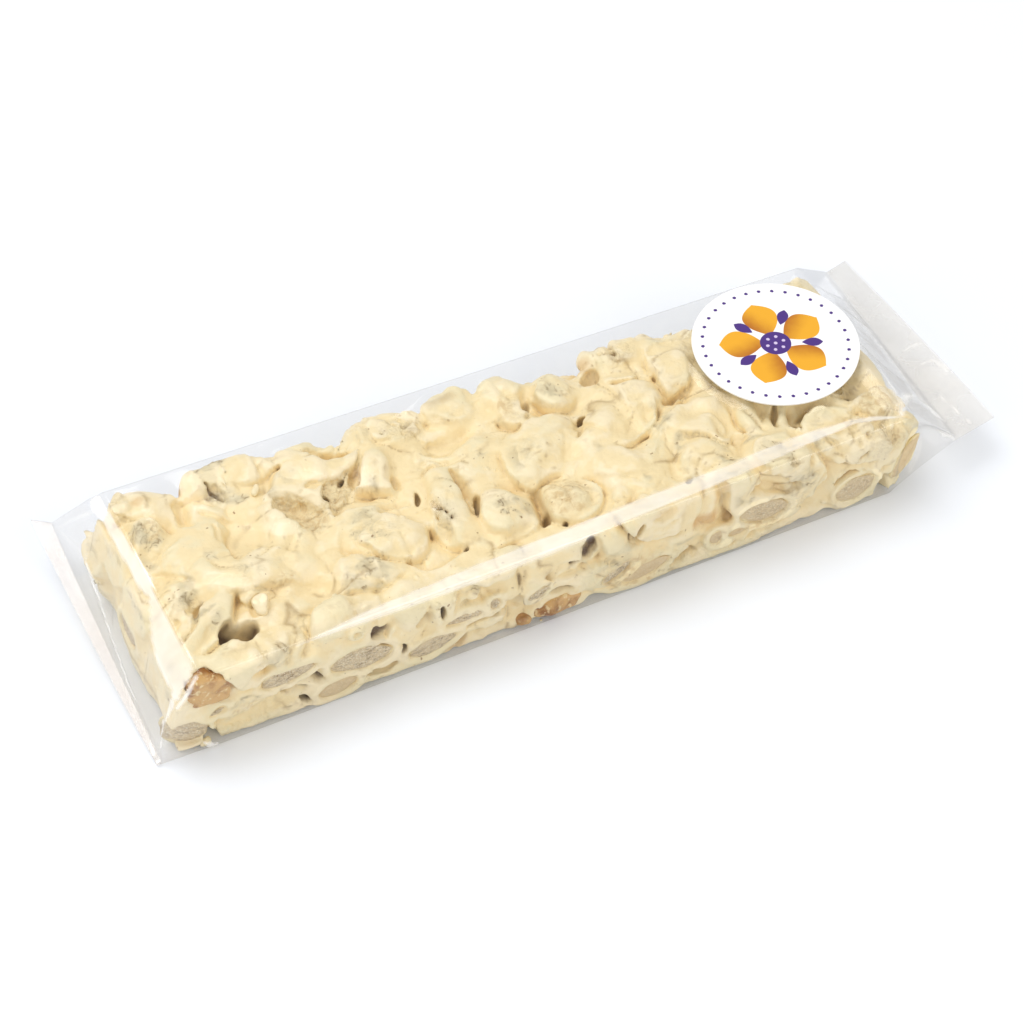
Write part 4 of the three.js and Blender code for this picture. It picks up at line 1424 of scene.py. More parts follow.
PATCHES = {
    Look.SKIN: rows(
        Patch,
        (8.6, -16.5, 28, 6, 4.6, 3, -8, 0.65), (7.2, 14, 27, 6.4, 3.6, 4, 62, 0.7),
        (-60.5, 8.6, 24.5, 7.5, 3.4, 4, -46, 0.5), (-60.5, -26.2, 27.6, 7.4, 2.4, 2.6, 3, 0.75),
        (-28.2, 24, 27.5, 2.6, 4.2, 3, -20, 0.8), (-20.4, 21.2, 27, 4.2, 3.4, 3, 10, 0.85),
        (-12.6, 24.5, 26.5, 1.3, 5, 3, 0, 0.55), (-8, 19.8, 26, 5.5, 1.2, 3, 0, 0.5),
        (-47.2, 11.4, 25, 6, 4, 4, 18, 0.6), (-92.6, 14, 26.4, 3.6, 2.2, 2.4, 40, 0.6),
        (-96, -7.6, 26, 6, 1.6, 3, 62, 0.6), (-70, -9.6, 26.8, 5.6, 1.4, 2.4, 12, 0.55),
        (-25.4, -8, 27.5, 1.5, 5.6, 2.4, 12, 0.65), (-21.4, 8.2, 27, 6, 1.4, 2.6, -14, 0.7),
        (41, 24, 26.5, 5.4, 3.2, 2.6, -10, 0.7), (31, 21.8, 24.5, 4.6, 2, 3, 30, 0.6),
        (63, -11, 26.6, 6, 2.2, 3, 76, 0.55), (52, -12.2, 26.8, 1.6, 1.2, 2, 0, 0.6),
        (94.6, -21, 26.4, 6, 3.4, 3, 14, 0.5), (-98.5, 31, 26, 3.4, 3, 3.4, 20, 0.7),
        (-88, -31, 8, 9.4, 3, 3.6, 0, 0.8), (-44, -31, 9, 6, 3, 5, 0, 0.7), (90, -30, 21, 10, 3, 6, 0, 0.7),
        (62, -31, 12, 13, 3, 5, 0, 0.8), (15, -31, 9, 8, 3, 5, 0, 0.8),
        (-73, -11.6, 27, 1, 1.8, 3, -20, 1.6), (-93.6, -6.6, 27, 1, 5, 3, -22, 1.2),
        (-29, 0.6, 27, 1.2, 2, 3, 0, 1.5), (-24.6, -8, 27.5, 2.2, 4.4, 3, 20),
        (-19.5, 8.6, 27, 4, 1, 3, -24),
    ),
    Look.FLESH: rows(
        Patch,
        (7.3, -15.5, 28, 7.6, 7, 3, -8, 0.85), (6.4, 16.4, 27.5, 3.6, 2.6, 3, 62, 0.7),
        (-58, 8, 25, 9, 5.6, 5, -52), (-60.5, -28.2, 25.5, 7, 2.6, 3, 3, 0.7),
        (-47.2, 11, 25.5, 6.4, 4.2, 4, 18), (-94, 15, 26.4, 4.6, 3.6, 2.4, 40, 0.6),
        (-68.5, -9.4, 26.6, 4.6, 1.8, 2.4, 12, 0.7), (51.8, -12.2, 26.8, 1.8, 1.6, 2, 0, 0.9),
        (95.5, -21, 26.4, 6.4, 4.6, 3, 14, 0.9), (92, -30, 20, 9, 4, 7, 0, 0.5),
        (-88, -31.4, 7.6, 9.6, 2, 4.2, 0, 0.75), (20, -31.4, 8, 12, 2, 6, 0, 0.5),
        (62, -31.4, 9, 12, 2, 6, 0, 0.55),
    ),
    Look.AMBER: rows(
        Patch,
        (32, 24.5, 25, 4, 3, 3, 0, 0.4), (-84, 29, 21, 2.6, 4.6, 6, 0, 0.7),
        (-93, 26.5, 26.4, 2.4, 1.6, 2, 30, 0.6), (41.6, -29.6, 16.4, 4.6, 3, 2.8, 0, 0.7),
        (43.2, -30, 24.6, 1.6, 3, 4.6, 0, 0.4), (26, -30.4, 25.8, 5.4, 2, 1.6, 0, 0.25),
        (-31, -30, 2, 3.6, 3, 2.4, 0, 0.4),
    ),
    Look.CRUMB: rows(
        Patch,
        (-59, 8, 25, 9.5, 6.5, 5, -52), (-24, 22.5, 27, 7.5, 4.4, 3, 0), (-47.2, 11, 25.5, 7, 5, 4, 18),
        (41, 24, 26.5, 6, 4, 2.6, -10, 0.9), (95, -24, 22, 12, 9, 10, 10), (-98.5, 31, 26, 4, 3.4, 3.4, 20),
        (-88, -31.4, 2.6, 10, 2.6, 2.6, 0, 0.8), (12, -31.4, 10, 9, 2.6, 5, 0, 0.7),
        (50, -31.4, 5, 44, 2.6, 5, 0, 0.9), (60, -31.4, 10, 14, 2.6, 6, 0, 0.7),
    ),
    Look.VEIL: rows(
        Patch,
        (-74.5, 31, 27, 6.5, 3, 4, 0, 0.8), (-95.5, 15, 27, 4.5, 5.5, 4, 60, 0.9),
        (-92, 14.5, 27, 2.6, 1.5, 4, 20), (-98, 8.5, 27, 1.8, 2.4, 4, 30),
        (-83, 3.5, 27, 2.6, 1.8, 4, -30, 0.8), (-73, 21.5, 27, 6, 2.6, 4, -20, 0.9),
        (-94, -4, 27, 2.2, 6, 4, -20, 0.9), (-60, 18, 27, 6, 3, 4, 20, 0.5),
        (-37, 8.5, 28, 1.6, 2.4, 3, 0, 0.7), (-44, 0, 27, 4.4, 2.4, 4, 20, 0.6),
        (-51, -18.5, 27, 8, 4.4, 4, 10, 0.75), (-47.5, -22, 26.5, 3, 1.5, 4, 30),
        (-25, -9, 27.5, 4, 4, 4, 60, 0.5), (-7.5, 3.5, 27, 1.7, 1, 3, 0, 1.3),
        (-9.5, -12.5, 28, 4.6, 1.4, 4, 0, 1.2), (-10.5, -15.5, 28, 3.4, 1.2, 4, -24, 1.2),
        (-3, -15, 28, 4, 2.4, 4, 10, 0.7), (21.5, -5.5, 27, 1.4, 2, 4, 0, 0.7),
        (28, -18, 27, 1.6, 1.2, 4, -20), (18, 17, 28, 2, 3.4, 4, 20, 0.9),
        (40.5, -12.5, 27, 1.6, 3.4, 4, -20, 0.9), (41, -3, 27, 3, 1.6, 4, 10, 0.8),
        (48, -22, 27, 3.6, 1.4, 4, -20), (38.5, -23, 27, 1.6, 1.8, 4, 0), (58.5, -18, 26, 3.6, 1.4, 4, -20),
        (-92.5, -13.5, 27, 3.4, 1.6, 4, 30), (-91.5, -18, 27, 1.4, 3.4, 4, -30),
        (-79.5, -30.5, 24, 4, 4, 3.4, 0, 0.8), (66, -31, 20, 7, 3, 5, 0, 0.7),
        (-28, -31, 22, 5, 3, 2.4, 0, 0.6), (-13, -31, 10, 3.6, 3, 3, 0, 0.7),
        (14, -31, 15, 3.6, 3, 4, 0, 0.5), (35, -31, 11, 6, 3, 1.6, 0, 0.7),
    ),
}


FAR_SIDES = ((-106, 29), (-60, 28), (0, 26), (45, 23.5), (75, 23.5), (102, 26.5))


def far_side(x: Array | float) -> Array:
    """Y of the bar's far side at x."""
    places, sides = zip(*FAR_SIDES)
    return np.interp(x, places, sides)


@dataclass
class Nougat:
    """The bar itself: soft nougat over whole almonds, cut flat on its near side.

    Sizes are in millimetres of the bag's frame.
    """

    left: float = -105.0
    right: float = 101.0
    near: float = -30.0
    knife: float = -31.8
    bed_top: float = 25.0
    step: float = 0.5
    most_triangles: int = 196000
    film_gap: float = 0.2
    lowest: float = 0.1
    crown_lift: float = 0.1
    almond_bend: float = 0.9
    hollow_bend: float = 0.9
    line_bend: float = 0.3
    top_level: float = 27.0
    top_band: Pair = (14.0, 19.0)
    side_band: Pair = (-29.0, -24.0)
    far_band: Pair = (18.0, 23.0)
    pull_margin: float = 7.0
    finish: NougatFinish = field(default_factory=NougatFinish)

    def __post_init__(self) -> None:
        """Lays the voxel grid and the noise that bends every form in it."""
        self.grid = Grid((-113.0, -34.5, -1.0), (109.0, 36.0, 31.0), self.step)
        self.bend = [
            1.7 * lattice_noise(self.grid, 7.5, 7 + k) + 0.5 * lattice_noise(self.grid, 2.8, 17 + k)
            for k in range(3)
        ]
        self.fine = lattice_noise(self.grid, 2.2, 11)
        self.almonds: list[Almond] = [*TOP_ALMONDS, *NEAR_ALMONDS, *self.filler_almonds()]

    def bent(self, part: Window, amount: float) -> tuple[Array, ...]:
        """The grid's points in a window, pushed about by the bending noise."""
        return tuple(p + amount * self.bend[k][part] for k, p in enumerate(self.grid.points(part)))

    def bed(self) -> Array:
        """The plain bar between the almonds, as a distance field."""
        x, y, z = self.grid.points()
        left = self.left - 3.0 * smoothstep(24.0 - z, 0.0, 12.0) * (1.0 - smoothstep(y, -5.0, 20.0))
        right = self.right + 3.8 * (1.0 - smoothstep(y, -22.0, -8.0)) * smoothstep(z, 2.0, 12.0)
        body = -smooth_union(-(x - right), -(left - x), 3.0)
        near = self.near + 2.4 * smoothstep(z, 19.0, 27.0) - 1.2 * (1.0 - smoothstep(z, 1.5, 5.0))
        far = far_side(x).astype(np.float32)
        for wall, width in ((near - y, 2.0), (y - far, 4.0), (z - self.bed_top, 3.0), (-0.9 - z, 1.0)):
            body = -smooth_union(-body, -wall, width)
        return body.astype(np.float32)

    def filler_almonds(self) -> list[Almond]:
        """Seeded almonds for the far side and the ends."""
        draws = np.random.default_rng(41)
        made = []
        for x in np.arange(-101, 101, 9.5):
            for level in (8.0, 17.0):
                shift = draws.uniform(-3, 3)
                far = float(np.float32(far_side(x + shift))) - 3.4 + draws.uniform(-0.6, 1.2)
                sizes = (draws.uniform(8, 11), draws.uniform(4.6, 6))
                turns = (draws.uniform(-25, 25), draws.uniform(-35, 35))
                made.append(Almond(x + shift, far, level + draws.uniform(0, 4), *sizes, *turns, 1.0))
        for y in np.arange(-24, 28, 9.0):
            for level in (9.0, 18.0):
                for end, side in ((self.left, 1), (self.right, -1)):
                    x = end + side * draws.uniform(3.2, 5.0)
                    sizes = (draws.uniform(7, 9), draws.uniform(4.5, 6))
                    turns = (draws.uniform(60, 120), draws.uniform(-30, 30))
                    place = (x, y + draws.uniform(-2, 2), level + draws.uniform(0, 4))
                    made.append(Almond(*place, *sizes, *turns, 1.0))
        return made

    def pulled_folds(self) -> Array:
        """Soft ridges, thin creases and overlapping layers that the sticky nougat is pulled into."""
        grid = self.grid
        flow = lattice_noise(grid, 10.0, 29) + 0.35 * lattice_noise(grid, 4.0, 31)
        ridge = np.clip(1.0 - np.abs(flow) / 0.2, 0.0, 1.0) ** 1.5
        ridge *= np.clip(0.5 + 1.2 * lattice_noise(grid, 13.0, 37), 0.0, 1.0)
        second = lattice_noise(grid, 8.0, 43) + 0.3 * lattice_noise(grid, 3.5, 47)
        sunk = np.exp(-((second / 0.06) ** 2)) * np.clip(0.2 + 1.4 * lattice_noise(grid, 11.0, 53), 0.0, 1.0)
        layer = lattice_noise(grid, 12.0, 71) + 0.3 * lattice_noise(grid, 4.5, 73)
        lip = smoothstep(layer, -0.05, 0.05) - smoothstep(layer, 0.05, 0.75)
        return (0.4 * sunk - 0.7 * ridge - 0.5 * lip).astype(np.float32)

    def draw_folds(self, values: Array) -> None:
        """Draws soft pillows, creases and threads into the top and the long sides."""
        x, y, z = (line.astype(float) for line in self.grid.lines)
        top = TOP_FOLDS.height(x[:, None], y[None, :])[:, :, None]
        values -= (0.95 * top * smoothstep(z, *self.top_band)[None, None, :]).astype(np.float32)
        side = SIDE_FOLDS.height(x[:, None], z[None, :])[:, None, :]
        near, far = 1.0 - smoothstep(y, *self.side_band), smoothstep(y, *self.far_band)
        share = np.maximum(near, far)[None, :, None]
        share = share * blend(0.35, 1.0, smoothstep(z, 2.0, 6.0))[None, None, :]
        values -= (2.1 * side * share).astype(np.float32)

    def pull_lines(self, values: Array) -> None:
        """Moves the surface along each placed line."""
        x, y, z = (line.astype(float) for line in self.grid.lines)
        level = self.grid.window((0.0, 0.0, self.top_level), 0.1)[2].start
        for line in TOP_LINES:
            middle, reach = self.line_extent(line)
            i, j, _ = self.grid.window((*middle, 0.0), reach)
            k = self.grid.window((0.0, 0.0, 24.0), 11.0)[2]
            bend = [self.line_bend * self.bend[axis][i, j, level] for axis in (0, 1)]
            move = line.profile(x[i, None] + bend[0], y[None, j] + bend[1])[:, :, None]
            share = smoothstep(z[k], *self.top_band)[None, None, :]
            values[i, j, k] -= (move * share).astype(np.float32)
        level = self.grid.window((0.0, -31.0, 0.0), 0.1)[1].start
        for line in NEAR_LINES:
            middle, reach = self.line_extent(line)
            i, _, k = self.grid.window((middle[0], 0.0, middle[1]), reach)
            j = self.grid.window((0.0, -32.0, 0.0), 9.0)[1]
            bend = [self.line_bend * self.bend[axis][i, level, k] for axis in (0, 2)]
            move = line.profile(x[i, None] + bend[0], z[None, k] + bend[1])[:, None, :]
            share = 1.0 - smoothstep(y[j], *self.side_band)[None, :, None]
            values[i, j, k] -= (move * share).astype(np.float32)

    def line_extent(self, line: PulledLine) -> tuple[Array, float]:
        """The middle of a line, and how far from there it moves the surface."""
        knots = np.array(line.points)
        low, high = knots.min(0), knots.max(0)
        return (low + high) / 2, (high - low).max() / 2 + self.pull_margin

    def roughen(self, values: Array) -> None:
        """Breaks up the surface where it is torn or crumbly."""
        coarse = 1.5 * (0.35 - np.abs(lattice_noise(self.grid, 2.8, 91)))
        coarse += 0.9 * (0.35 - np.abs(lattice_noise(self.grid, 1.5, 93)))
        for patch in PATCHES[Look.CRUMB]:
            part = self.grid.window(patch[:3], max(patch[3:6]) + 1.0)
            share = patch.cover(self.bent(part, 0.5), -1.6, 0.3)
            values[part] += (1.1 * share * coarse[part]).astype(np.float32)

    def field(self) -> Array:
        """The whole bar's distance field."""
        grid = self.grid
        x, y, z = grid.points()
        values = self.bed() + 1.5 * lattice_noise(grid, 14.0, 3) + 0.3 * self.bend[0]
        for almond in self.almonds:
            part = grid.window((almond.x, almond.y, almond.top - 0.6 * almond.wide), almond.half + 5.0)
            distance = almond.distance(self.bent(part, self.almond_bend), self.crown_lift)
            values[part] = smooth_union(values[part], distance, 1.5 * almond.fillet + 0.5)
            groove = np.exp(-(((distance - 0.35) / 0.45) ** 2))
            values[part] += 0.2 * (groove * np.clip(0.55 + 1.1 * self.bend[2][part], 0.0, 1.0))
        values += 0.6 * self.pulled_folds() + 0.12 * self.fine
        self.draw_folds(values)
        self.pull_lines(values)
        for hollow in HOLLOWS:
            part = grid.window(hollow[:3], max(hollow[3:6]) + 4.0)
            tool = hollow.distance(self.bent(part, self.hollow_bend)) + 0.45 * self.fine[part]
            values[part] = smooth_cut(values[part], tool, 0.4 + 2.2 * (hollow.dark < 0.16))
        self.roughen(values)
        knife = self.knife - 0.9 * smoothstep(z, 15.0, 21.0) - y + 0.14 * self.bend[1] + 0.1 * self.fine
        values = -smooth_union(-values, -knife, 1.1)
        near, far = BAG.side_at(x)
        lid = BAG.top(x[:, :, 0], y[:, :, 0])[:, :, None]
        values = -smooth_union(-values, -(z - lid + self.film_gap + 0.08 * self.bend[2]), 0.4)
        values = np.maximum(values, (y - far + 0.5).astype(np.float32))
        values = np.maximum(values, (near + 0.4 - y).astype(np.float32))
        values = np.maximum(values, self.inside_ends(x, y, z))
        values = -smooth_union(-values, -(0.3 - z), 1.6)
        close_border(values)
        return values.astype(np.float32)

    def inside_ends(self, x: Array, y: Array, z: Array) -> Array:
        """Positive outside the film's slanted ends, less a gap."""
        key = BAG.key_sections()
        root, facet, crease = key["left_root"], key["left_facet"], key["left_crease"]
        share = (y - facet.near) / (facet.far - facet.near)
        knee_x = facet.x + facet.lean + facet.top_skew * share
        knee_z = facet.high + facet.crown * share
        foot_z = root.high + root.lift * np.clip(share, 0.0, 1.0) ** 1.5
        low = blend(root.x, knee_x, (z - foot_z) / (knee_z - foot_z))
        high = blend(knee_x, crease.x + crease.lean, (z - knee_z) / (crease.high - knee_z))
        left = np.where(z < knee_z, low, high) + 1.0 - x
        start, tip = key["right_crease"], key["right_root"]
        run = (x - start.x - min(start.lean, 0.0)) / (tip.x - start.x)
        roof = z - blend(start.high, tip.high, run) + 0.6
        floor = blend(start.low, tip.low, run) + 0.4 - z
        right = np.where(x > start.x, np.maximum(roof, floor), -1.0)
        return np.maximum(left, right).astype(np.float32)

    def build(self, pockets: list["CutAlmond"]) -> Piece:
        """Makes the bar's mesh, with a pocket for each cut almond.

        Args:
            pockets: the cut almonds that lie in its faces.

        Returns:
            The bar, with its masks stored on its vertices.
        """
        values = self.field()
        for pocket in pockets:
            pocket.carve(values, self.grid, self.fine)
        values = np.maximum(values, self.lowest - self.grid.lines[2][None, None, :])
        points, faces = surface_of(values, self.grid)
        piece = mesh_object("nougat_bar", points, faces)
        thin_out(piece, self.most_triangles)
        self.store_masks(piece, values)
        return piece

    def store_masks(self, piece: Piece, values: Array) -> None:
        """Stores painted shade for hollows, creases, seams and holes, and where it is veiled, bare or
        browned.

        Args:
            piece: the bar.
            values: its distance field.
        """
        points = vertex_points(piece)
        solid = np.clip(0.5 - values / 1.2, 0.0, 1.0)
        wide = sample_grid(box_blur(solid, 8), self.grid, points)
        close = sample_grid(box_blur(solid, 3), self.grid, points)
        # painted shade for hollows: how much solid lies around each vertex, close by and farther off
        set_attribute(piece, "hollow", 0.55 * wide + 0.45 * close)
        # painted shade in narrow creases: how much solid lies close around each vertex
        set_attribute(piece, "crevice_shade", sample_grid(box_blur(solid, 2), self.grid, points))
        push = [sample_grid(self.bend[k], self.grid, points) for k in range(3)]
        bent = tuple(points[:, k] + self.almond_bend * push[k] for k in range(3))
        # painted shade inside the holes, by each hollow's last number, stronger where the surface lies deep
        dark = np.zeros(len(points))
        sunk = smoothstep(close, 0.5, 0.66)
        around = tuple(points[:, k] + self.hollow_bend * push[k] for k in range(3))
        for hollow in HOLLOWS:
            depth = -hollow.distance(around)
            dark = np.maximum(dark, hollow.dark * smoothstep(depth, -0.5, 0.3) * blend(0.1, 1.0, sunk))
        set_attribute(piece, "hole_shade", np.clip(dark, 0, 1))
        draws = np.random.default_rng(61)
        thin, along, across, deepest = (np.full(len(points), start) for start in (0.0, 0.0, 0.0, -0.6))
        for number, almond in enumerate(self.almonds):
            depth = -almond.distance(bent, self.crown_lift) - 0.25
            high = smoothstep(points[:, 2] - almond.top, -3.4, -0.9)
            amount = np.clip(almond.thin + draws.uniform(-0.3, 0.6), 0.0, 1.0)
            thin = np.maximum(thin, amount * smoothstep(depth, -0.4, 0.5) * high)
            axes = turn_matrix(almond.yaw, almond.pitch)
            away = points - np.array([almond.x, almond.y, almond.top])
            closer = depth > deepest
            along = np.where(closer, away @ axes[:, 0] + 31.0 * number, along)
            across = np.where(closer, away @ axes[:, 1] + 17.0 * number, across)
            deepest = np.maximum(deepest, depth)
        normal = np.empty(3 * len(points))
        piece.data.vertices.foreach_get("normal", normal)
        facing_up = smoothstep(normal.reshape(-1, 3)[:, 2], 0.3, 0.7)
        # thin lines of painted shade where the drawn pillows meet, on the top and on the sides
        top = TOP_FOLDS.seam_shade_lines(points[:, 0], points[:, 1])
        side = SIDE_FOLDS.seam_shade_lines(points[:, 0], points[:, 2])
        masks = {"seam_shade": blend(side, top, facing_up), "thin": thin, "along": along, "across": across}
        for name, amount in masks.items():
            set_attribute(piece, name, amount)
        for look, patches in PATCHES.items():
            covers = [patch.cover(bent, -1.4, 0.5) for patch in patches]
            set_attribute(piece, look.value, np.maximum(np.maximum.reduce(covers), 0.0))

    def dress(self, piece: Piece) -> None:
        """Gives the bar its finish and its place."""
        wear(piece, self.finish.material())
        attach(piece, "root")
        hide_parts("bag")


# ---------------------------------------------------------------- cut almonds


class Facing(Enum):
    """Which way a cut almond's face looks."""

    NEAR = "near"
    UP = "up"
    LEFT = "left"
    RIGHT = "right"
    FAR = "far"


FACE_AXES = {
    Facing.NEAR: ((1, 0, 0), (0, 0, 1), (0, -1, 0)),
    Facing.FAR: ((-1, 0, 0), (0, 0, 1), (0, 1, 0)),
    Facing.UP: ((1, 0, 0), (0, 1, 0), (0, 0, 1)),
    Facing.LEFT: ((0, -1, 0), (0, 0, 1), (-1, 0, 0)),
    Facing.RIGHT: ((0, 1, 0), (0, 0, 1), (1, 0, 0)),
}


@dataclass(frozen=True)
class CutAlmond:
    """Half an almond whose flat cut face lies in the bar's surface.

    x, y, z: middle of the face in millimetres.
    half, wide: half length and half width of the face.
    tilt: turn of its length in the face, in degrees.
    tone: 0 for a pale almond, 1 for a warm tan one.
    """

    x: float
    y: float
    z: float
    half: float
    wide: float
    tilt: float
    facing: Facing = Facing.NEAR
    tone: float = 0.2
    swing: float = 0.0
    around: int = 56
    dome: float = 0.66

    def axes(self) -> Array:
        """Columns are along, across and out of the face."""
        flat = np.array(FACE_AXES[self.facing], float).T
        swung = np.array(Matrix.Rotation(math.radians(self.swing), 3, "Z")) @ flat
        turn = math.radians(self.tilt)
        cos, sin = math.cos(turn), math.sin(turn)
        return swung @ np.array([[cos, -sin, 0], [sin, cos, 0], [0, 0, 1]])

    def carve(self, values: Array, grid: Grid, rough: Array) -> None:
        """Beds this almond in nougat, and clears the way out of its face.

        Args:
            values: the bar's distance field, changed in place.
            grid: its grid.
            rough: noise on the grid that makes the nougat's edge over the almond uneven.
        """
        centre = (self.x, self.y, self.z)
        axes = self.axes().astype(np.float32)
        part = grid.window(centre, self.half + 3.5)
        points = grid.points(part)
        out = sum(axes[k, 2] * (points[k] - centre[k]) for k in range(3))
        if self.swing == 0.0:
            wrap = ellipsoid_distance(points, centre, (self.half + 1.5, self.wide + 1.5, self.wide), axes)
            values[part] = smooth_union(values[part], np.maximum(wrap, out - 0.25), 2.6)
        hole = (self.half - 0.5, self.wide - 0.5, 0.6 * self.wide)
        pocket = ellipsoid_distance(points, centre, hole, axes)
        values[part] = smooth_cut(values[part], pocket, 0.3)
        wall = ellipsoid_distance(points, centre, (self.half - 0.15, self.wide - 0.15, 60.0), axes)
        clear = np.maximum(wall + 0.5 * rough[part], -(out - 0.05))
        values[part] = smooth_cut(values[part], clear, 0.9)

    def mesh(self, seed: int) -> tuple[Array, Array, dict[str, Array]]:
        """Points, triangles and vertex numbers of the half almond.

        Args:
            seed: seed of its outline and its face's roughness.

        Returns:
            Points in the bag's frame, triangles, and the values stored on its vertices.
        """
        draws = np.random.default_rng(seed)
        around = self.around
        angle = np.arange(around) / around * 2 * math.pi
        outline = 1.0 + sum(
            draws.uniform(0.01, 0.05) * np.cos(order * angle + draws.uniform(0, 6.3))
            for order in (2, 3, 4, 6)
        )
        width = self.wide * (1.0 - 0.2 * np.cos(angle) - 0.25 * np.clip(np.cos(angle), 0, 1) ** 3)
        depth = self.dome * self.wide
        face_shares = (0.14, 0.28, 0.42, 0.56, 0.7, 0.82, 0.92, 1.0)
        dome_leans = (14, 30, 46, 62, 76)
        bumps = draws.normal(0, 1, (len(face_shares) + 1, around))
        bumps = (bumps + np.roll(bumps, 1, 1) + np.roll(bumps, -1, 1)) / 3
        rings = [
            (share, 0.14 * bump * (1 - share**6) + 0.5 * (1 - share**2))
            for share, bump in zip(face_shares, bumps[1:])
        ]
        for lean in np.radians(dome_leans):
            rings.append((math.cos(lean), np.full(around, -math.sin(lean) * self.dome * self.wide)))
        u = [outline * share * self.half * np.cos(angle) for share, _ in rings]
        v = [outline * share * width * np.sin(angle) for share, _ in rings]
        w = [height for _, height in rings]
        ends = ((0.0, 0.0), (0.0, 0.0), (0.5, -depth))
        columns = [np.concatenate([[top], *line, [foot]]) for line, (top, foot) in zip((u, v, w), ends)]
        local = np.stack(columns, 1)
        faces = [fan(0, 1, around)]
        last = 1 + (len(rings) - 1) * around
        faces += [band(start, start + around, around) for start in range(1, last, around)]
        faces.append(fan(len(local) - 1, last, around)[:, [1, 0, 2]])
        rim = np.hypot(local[:, 0] / self.half, local[:, 1] / self.wide)
        points = local @ self.axes().T + np.array([self.x, self.y, self.z])
        stored = {
            "along": local[:, 0] + 37.0 * (seed % 17),
            "across": local[:, 1] + 11.0 * (seed % 5),
            "rim": np.where(local[:, 2] < -0.3, 1.1, rim),
            "tone": np.full(len(local), self.tone),
        }
        return points, np.concatenate(faces), stored


CUT_ALMONDS = (
    CutAlmond(-105.0, -28.6, 6.4, 6.8, 5.2, 18, swing=-24, tone=0.15),
    CutAlmond(-97.2, -31.35, 12.2, 2.2, 0.9, 18, tone=0.3),
    CutAlmond(-78, -31.35, 16.4, 7.5, 3.1, 7, tone=0.0),
    CutAlmond(-58.2, -31.35, 12.2, 8.8, 4.4, -5, tone=0.1),
    CutAlmond(-38.6, -31.35, 7.2, 6.9, 3.1, 8, tone=0.35),
    CutAlmond(-29.5, -31.35, 13.6, 5.8, 1.7, -3, tone=0.5),
    CutAlmond(-65, -31.35, 4.6, 5.6, 3.2, 8, tone=0.8),
    CutAlmond(-9.0, -31.35, 12.2, 3.2, 1.5, 28, tone=0.3),
    CutAlmond(-21.4, -31.35, 14.6, 1.5, 2.0, 0, tone=0.2),
    CutAlmond(22.4, -31.35, 6.2, 7.2, 2.7, 12, tone=0.85),
    CutAlmond(13.6, -31.4, 9.6, 5.0, 1.7, 33, tone=0.05),
    CutAlmond(43.4, -31.35, 8.6, 2.6, 2.4, 10, tone=0.75),
    CutAlmond(49.8, -31.35, 8.6, 3.6, 2.1, 4, tone=0.9),
    CutAlmond(57.0, -31.35, 12.6, 7.6, 3.9, -10, tone=0.6),
    CutAlmond(85.2, -31.4, 8.0, 6.0, 4.4, 14, tone=0.6),
    CutAlmond(101.4, -29.8, 11.4, 7.6, 3.0, 58, swing=14, tone=1.0),
    CutAlmond(-107.0, 2.0, 11.0, 6.4, 4.2, 20, Facing.LEFT, tone=0.4),
    CutAlmond(101.8, 4.0, 14.0, 7.0, 4.4, -24, Facing.RIGHT, tone=0.5),
    CutAlmond(101.8, 18.0, 8.6, 6.0, 3.8, 12, Facing.RIGHT, tone=0.2),
)


@dataclass
class CutAlmonds:
    """All the cut almonds as one piece."""

    far_count: int = 9
    finish: AlmondFinish = field(default_factory=AlmondFinish)

    def list_all(self) -> list[CutAlmond]:
        """The placed almonds and seeded ones along the far side."""
        draws = np.random.default_rng(23)
        made = list(CUT_ALMONDS)
        for i in range(self.far_count):
            x = -92 + i * 22.5 + draws.uniform(-4, 4)
            place = (x, far_side(x) + 1.6, draws.uniform(7, 17))
            sizes = (draws.uniform(5, 8), draws.uniform(3, 4.4))
            tilt = draws.uniform(-40, 40)
            made.append(CutAlmond(*place, *sizes, tilt, Facing.FAR, draws.uniform(0, 0.9)))
        return made

    def build(self, almonds: list[CutAlmond]) -> Piece:
        """Joins the almonds' meshes into one piece."""
        meshes = [almond.mesh(seed) for seed, almond in enumerate(almonds, 100)]
        piece = mesh_object("cut_almonds", *joined(meshes))
        for name in ("along", "across", "rim", "tone"):
            set_attribute(piece, name, np.concatenate([stored[name] for _, _, stored in meshes]))
        return piece

    def dress(self, piece: Piece) -> None:
        """Gives the cut almonds their finish and their place."""
        wear(piece, self.finish.material())
        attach(piece, "root")
        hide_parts("bag")


# ---------------------------------------------------------------- candied lumps and crumbs


@dataclass
class RoughLump:
    """A small irregular lump, made from a voxel field of its own."""

    centre: Triple
    sizes: Triple
    yaw: float
    pitch: float
    seed: int
    squareness: float = 0.0
    rough: float = 0.3
    step: float = 0.35
    lowest: float = 0.2

    def mesh(self) -> tuple[Array, Array]:
        """Points and four-cornered faces of the lump."""
        reach = max(self.sizes) * 1.35 + 1.0
        low = tuple(c - reach for c in self.centre)
        high = tuple(c + reach for c in self.centre)
        grid = Grid(low, high, self.step)
        axes = turn_matrix(self.yaw, self.pitch)
        points = grid.points()
        values = ellipsoid_distance(points, self.centre, self.sizes, axes)
        away = [points[k] - self.centre[k] for k in range(3)]
        local = [sum(float(axes[k, i]) * away[k] for k in range(3)) for i in range(3)]
        box = np.maximum.reduce([np.abs(local[i]) - 0.84 * self.sizes[i] for i in range(3)])
        values = blend(values, box, self.squareness)
        size = min(self.sizes)
        for number, (share, cell) in enumerate(((1.0, 0.9 * size + 0.3), (0.33, 0.4 * size + 0.2))):
            values = values + share * self.rough * size * lattice_noise(grid, cell, self.seed + number)
        values = np.maximum(values, self.lowest - points[2])
        close_border(values)
        return surface_of(values, grid)


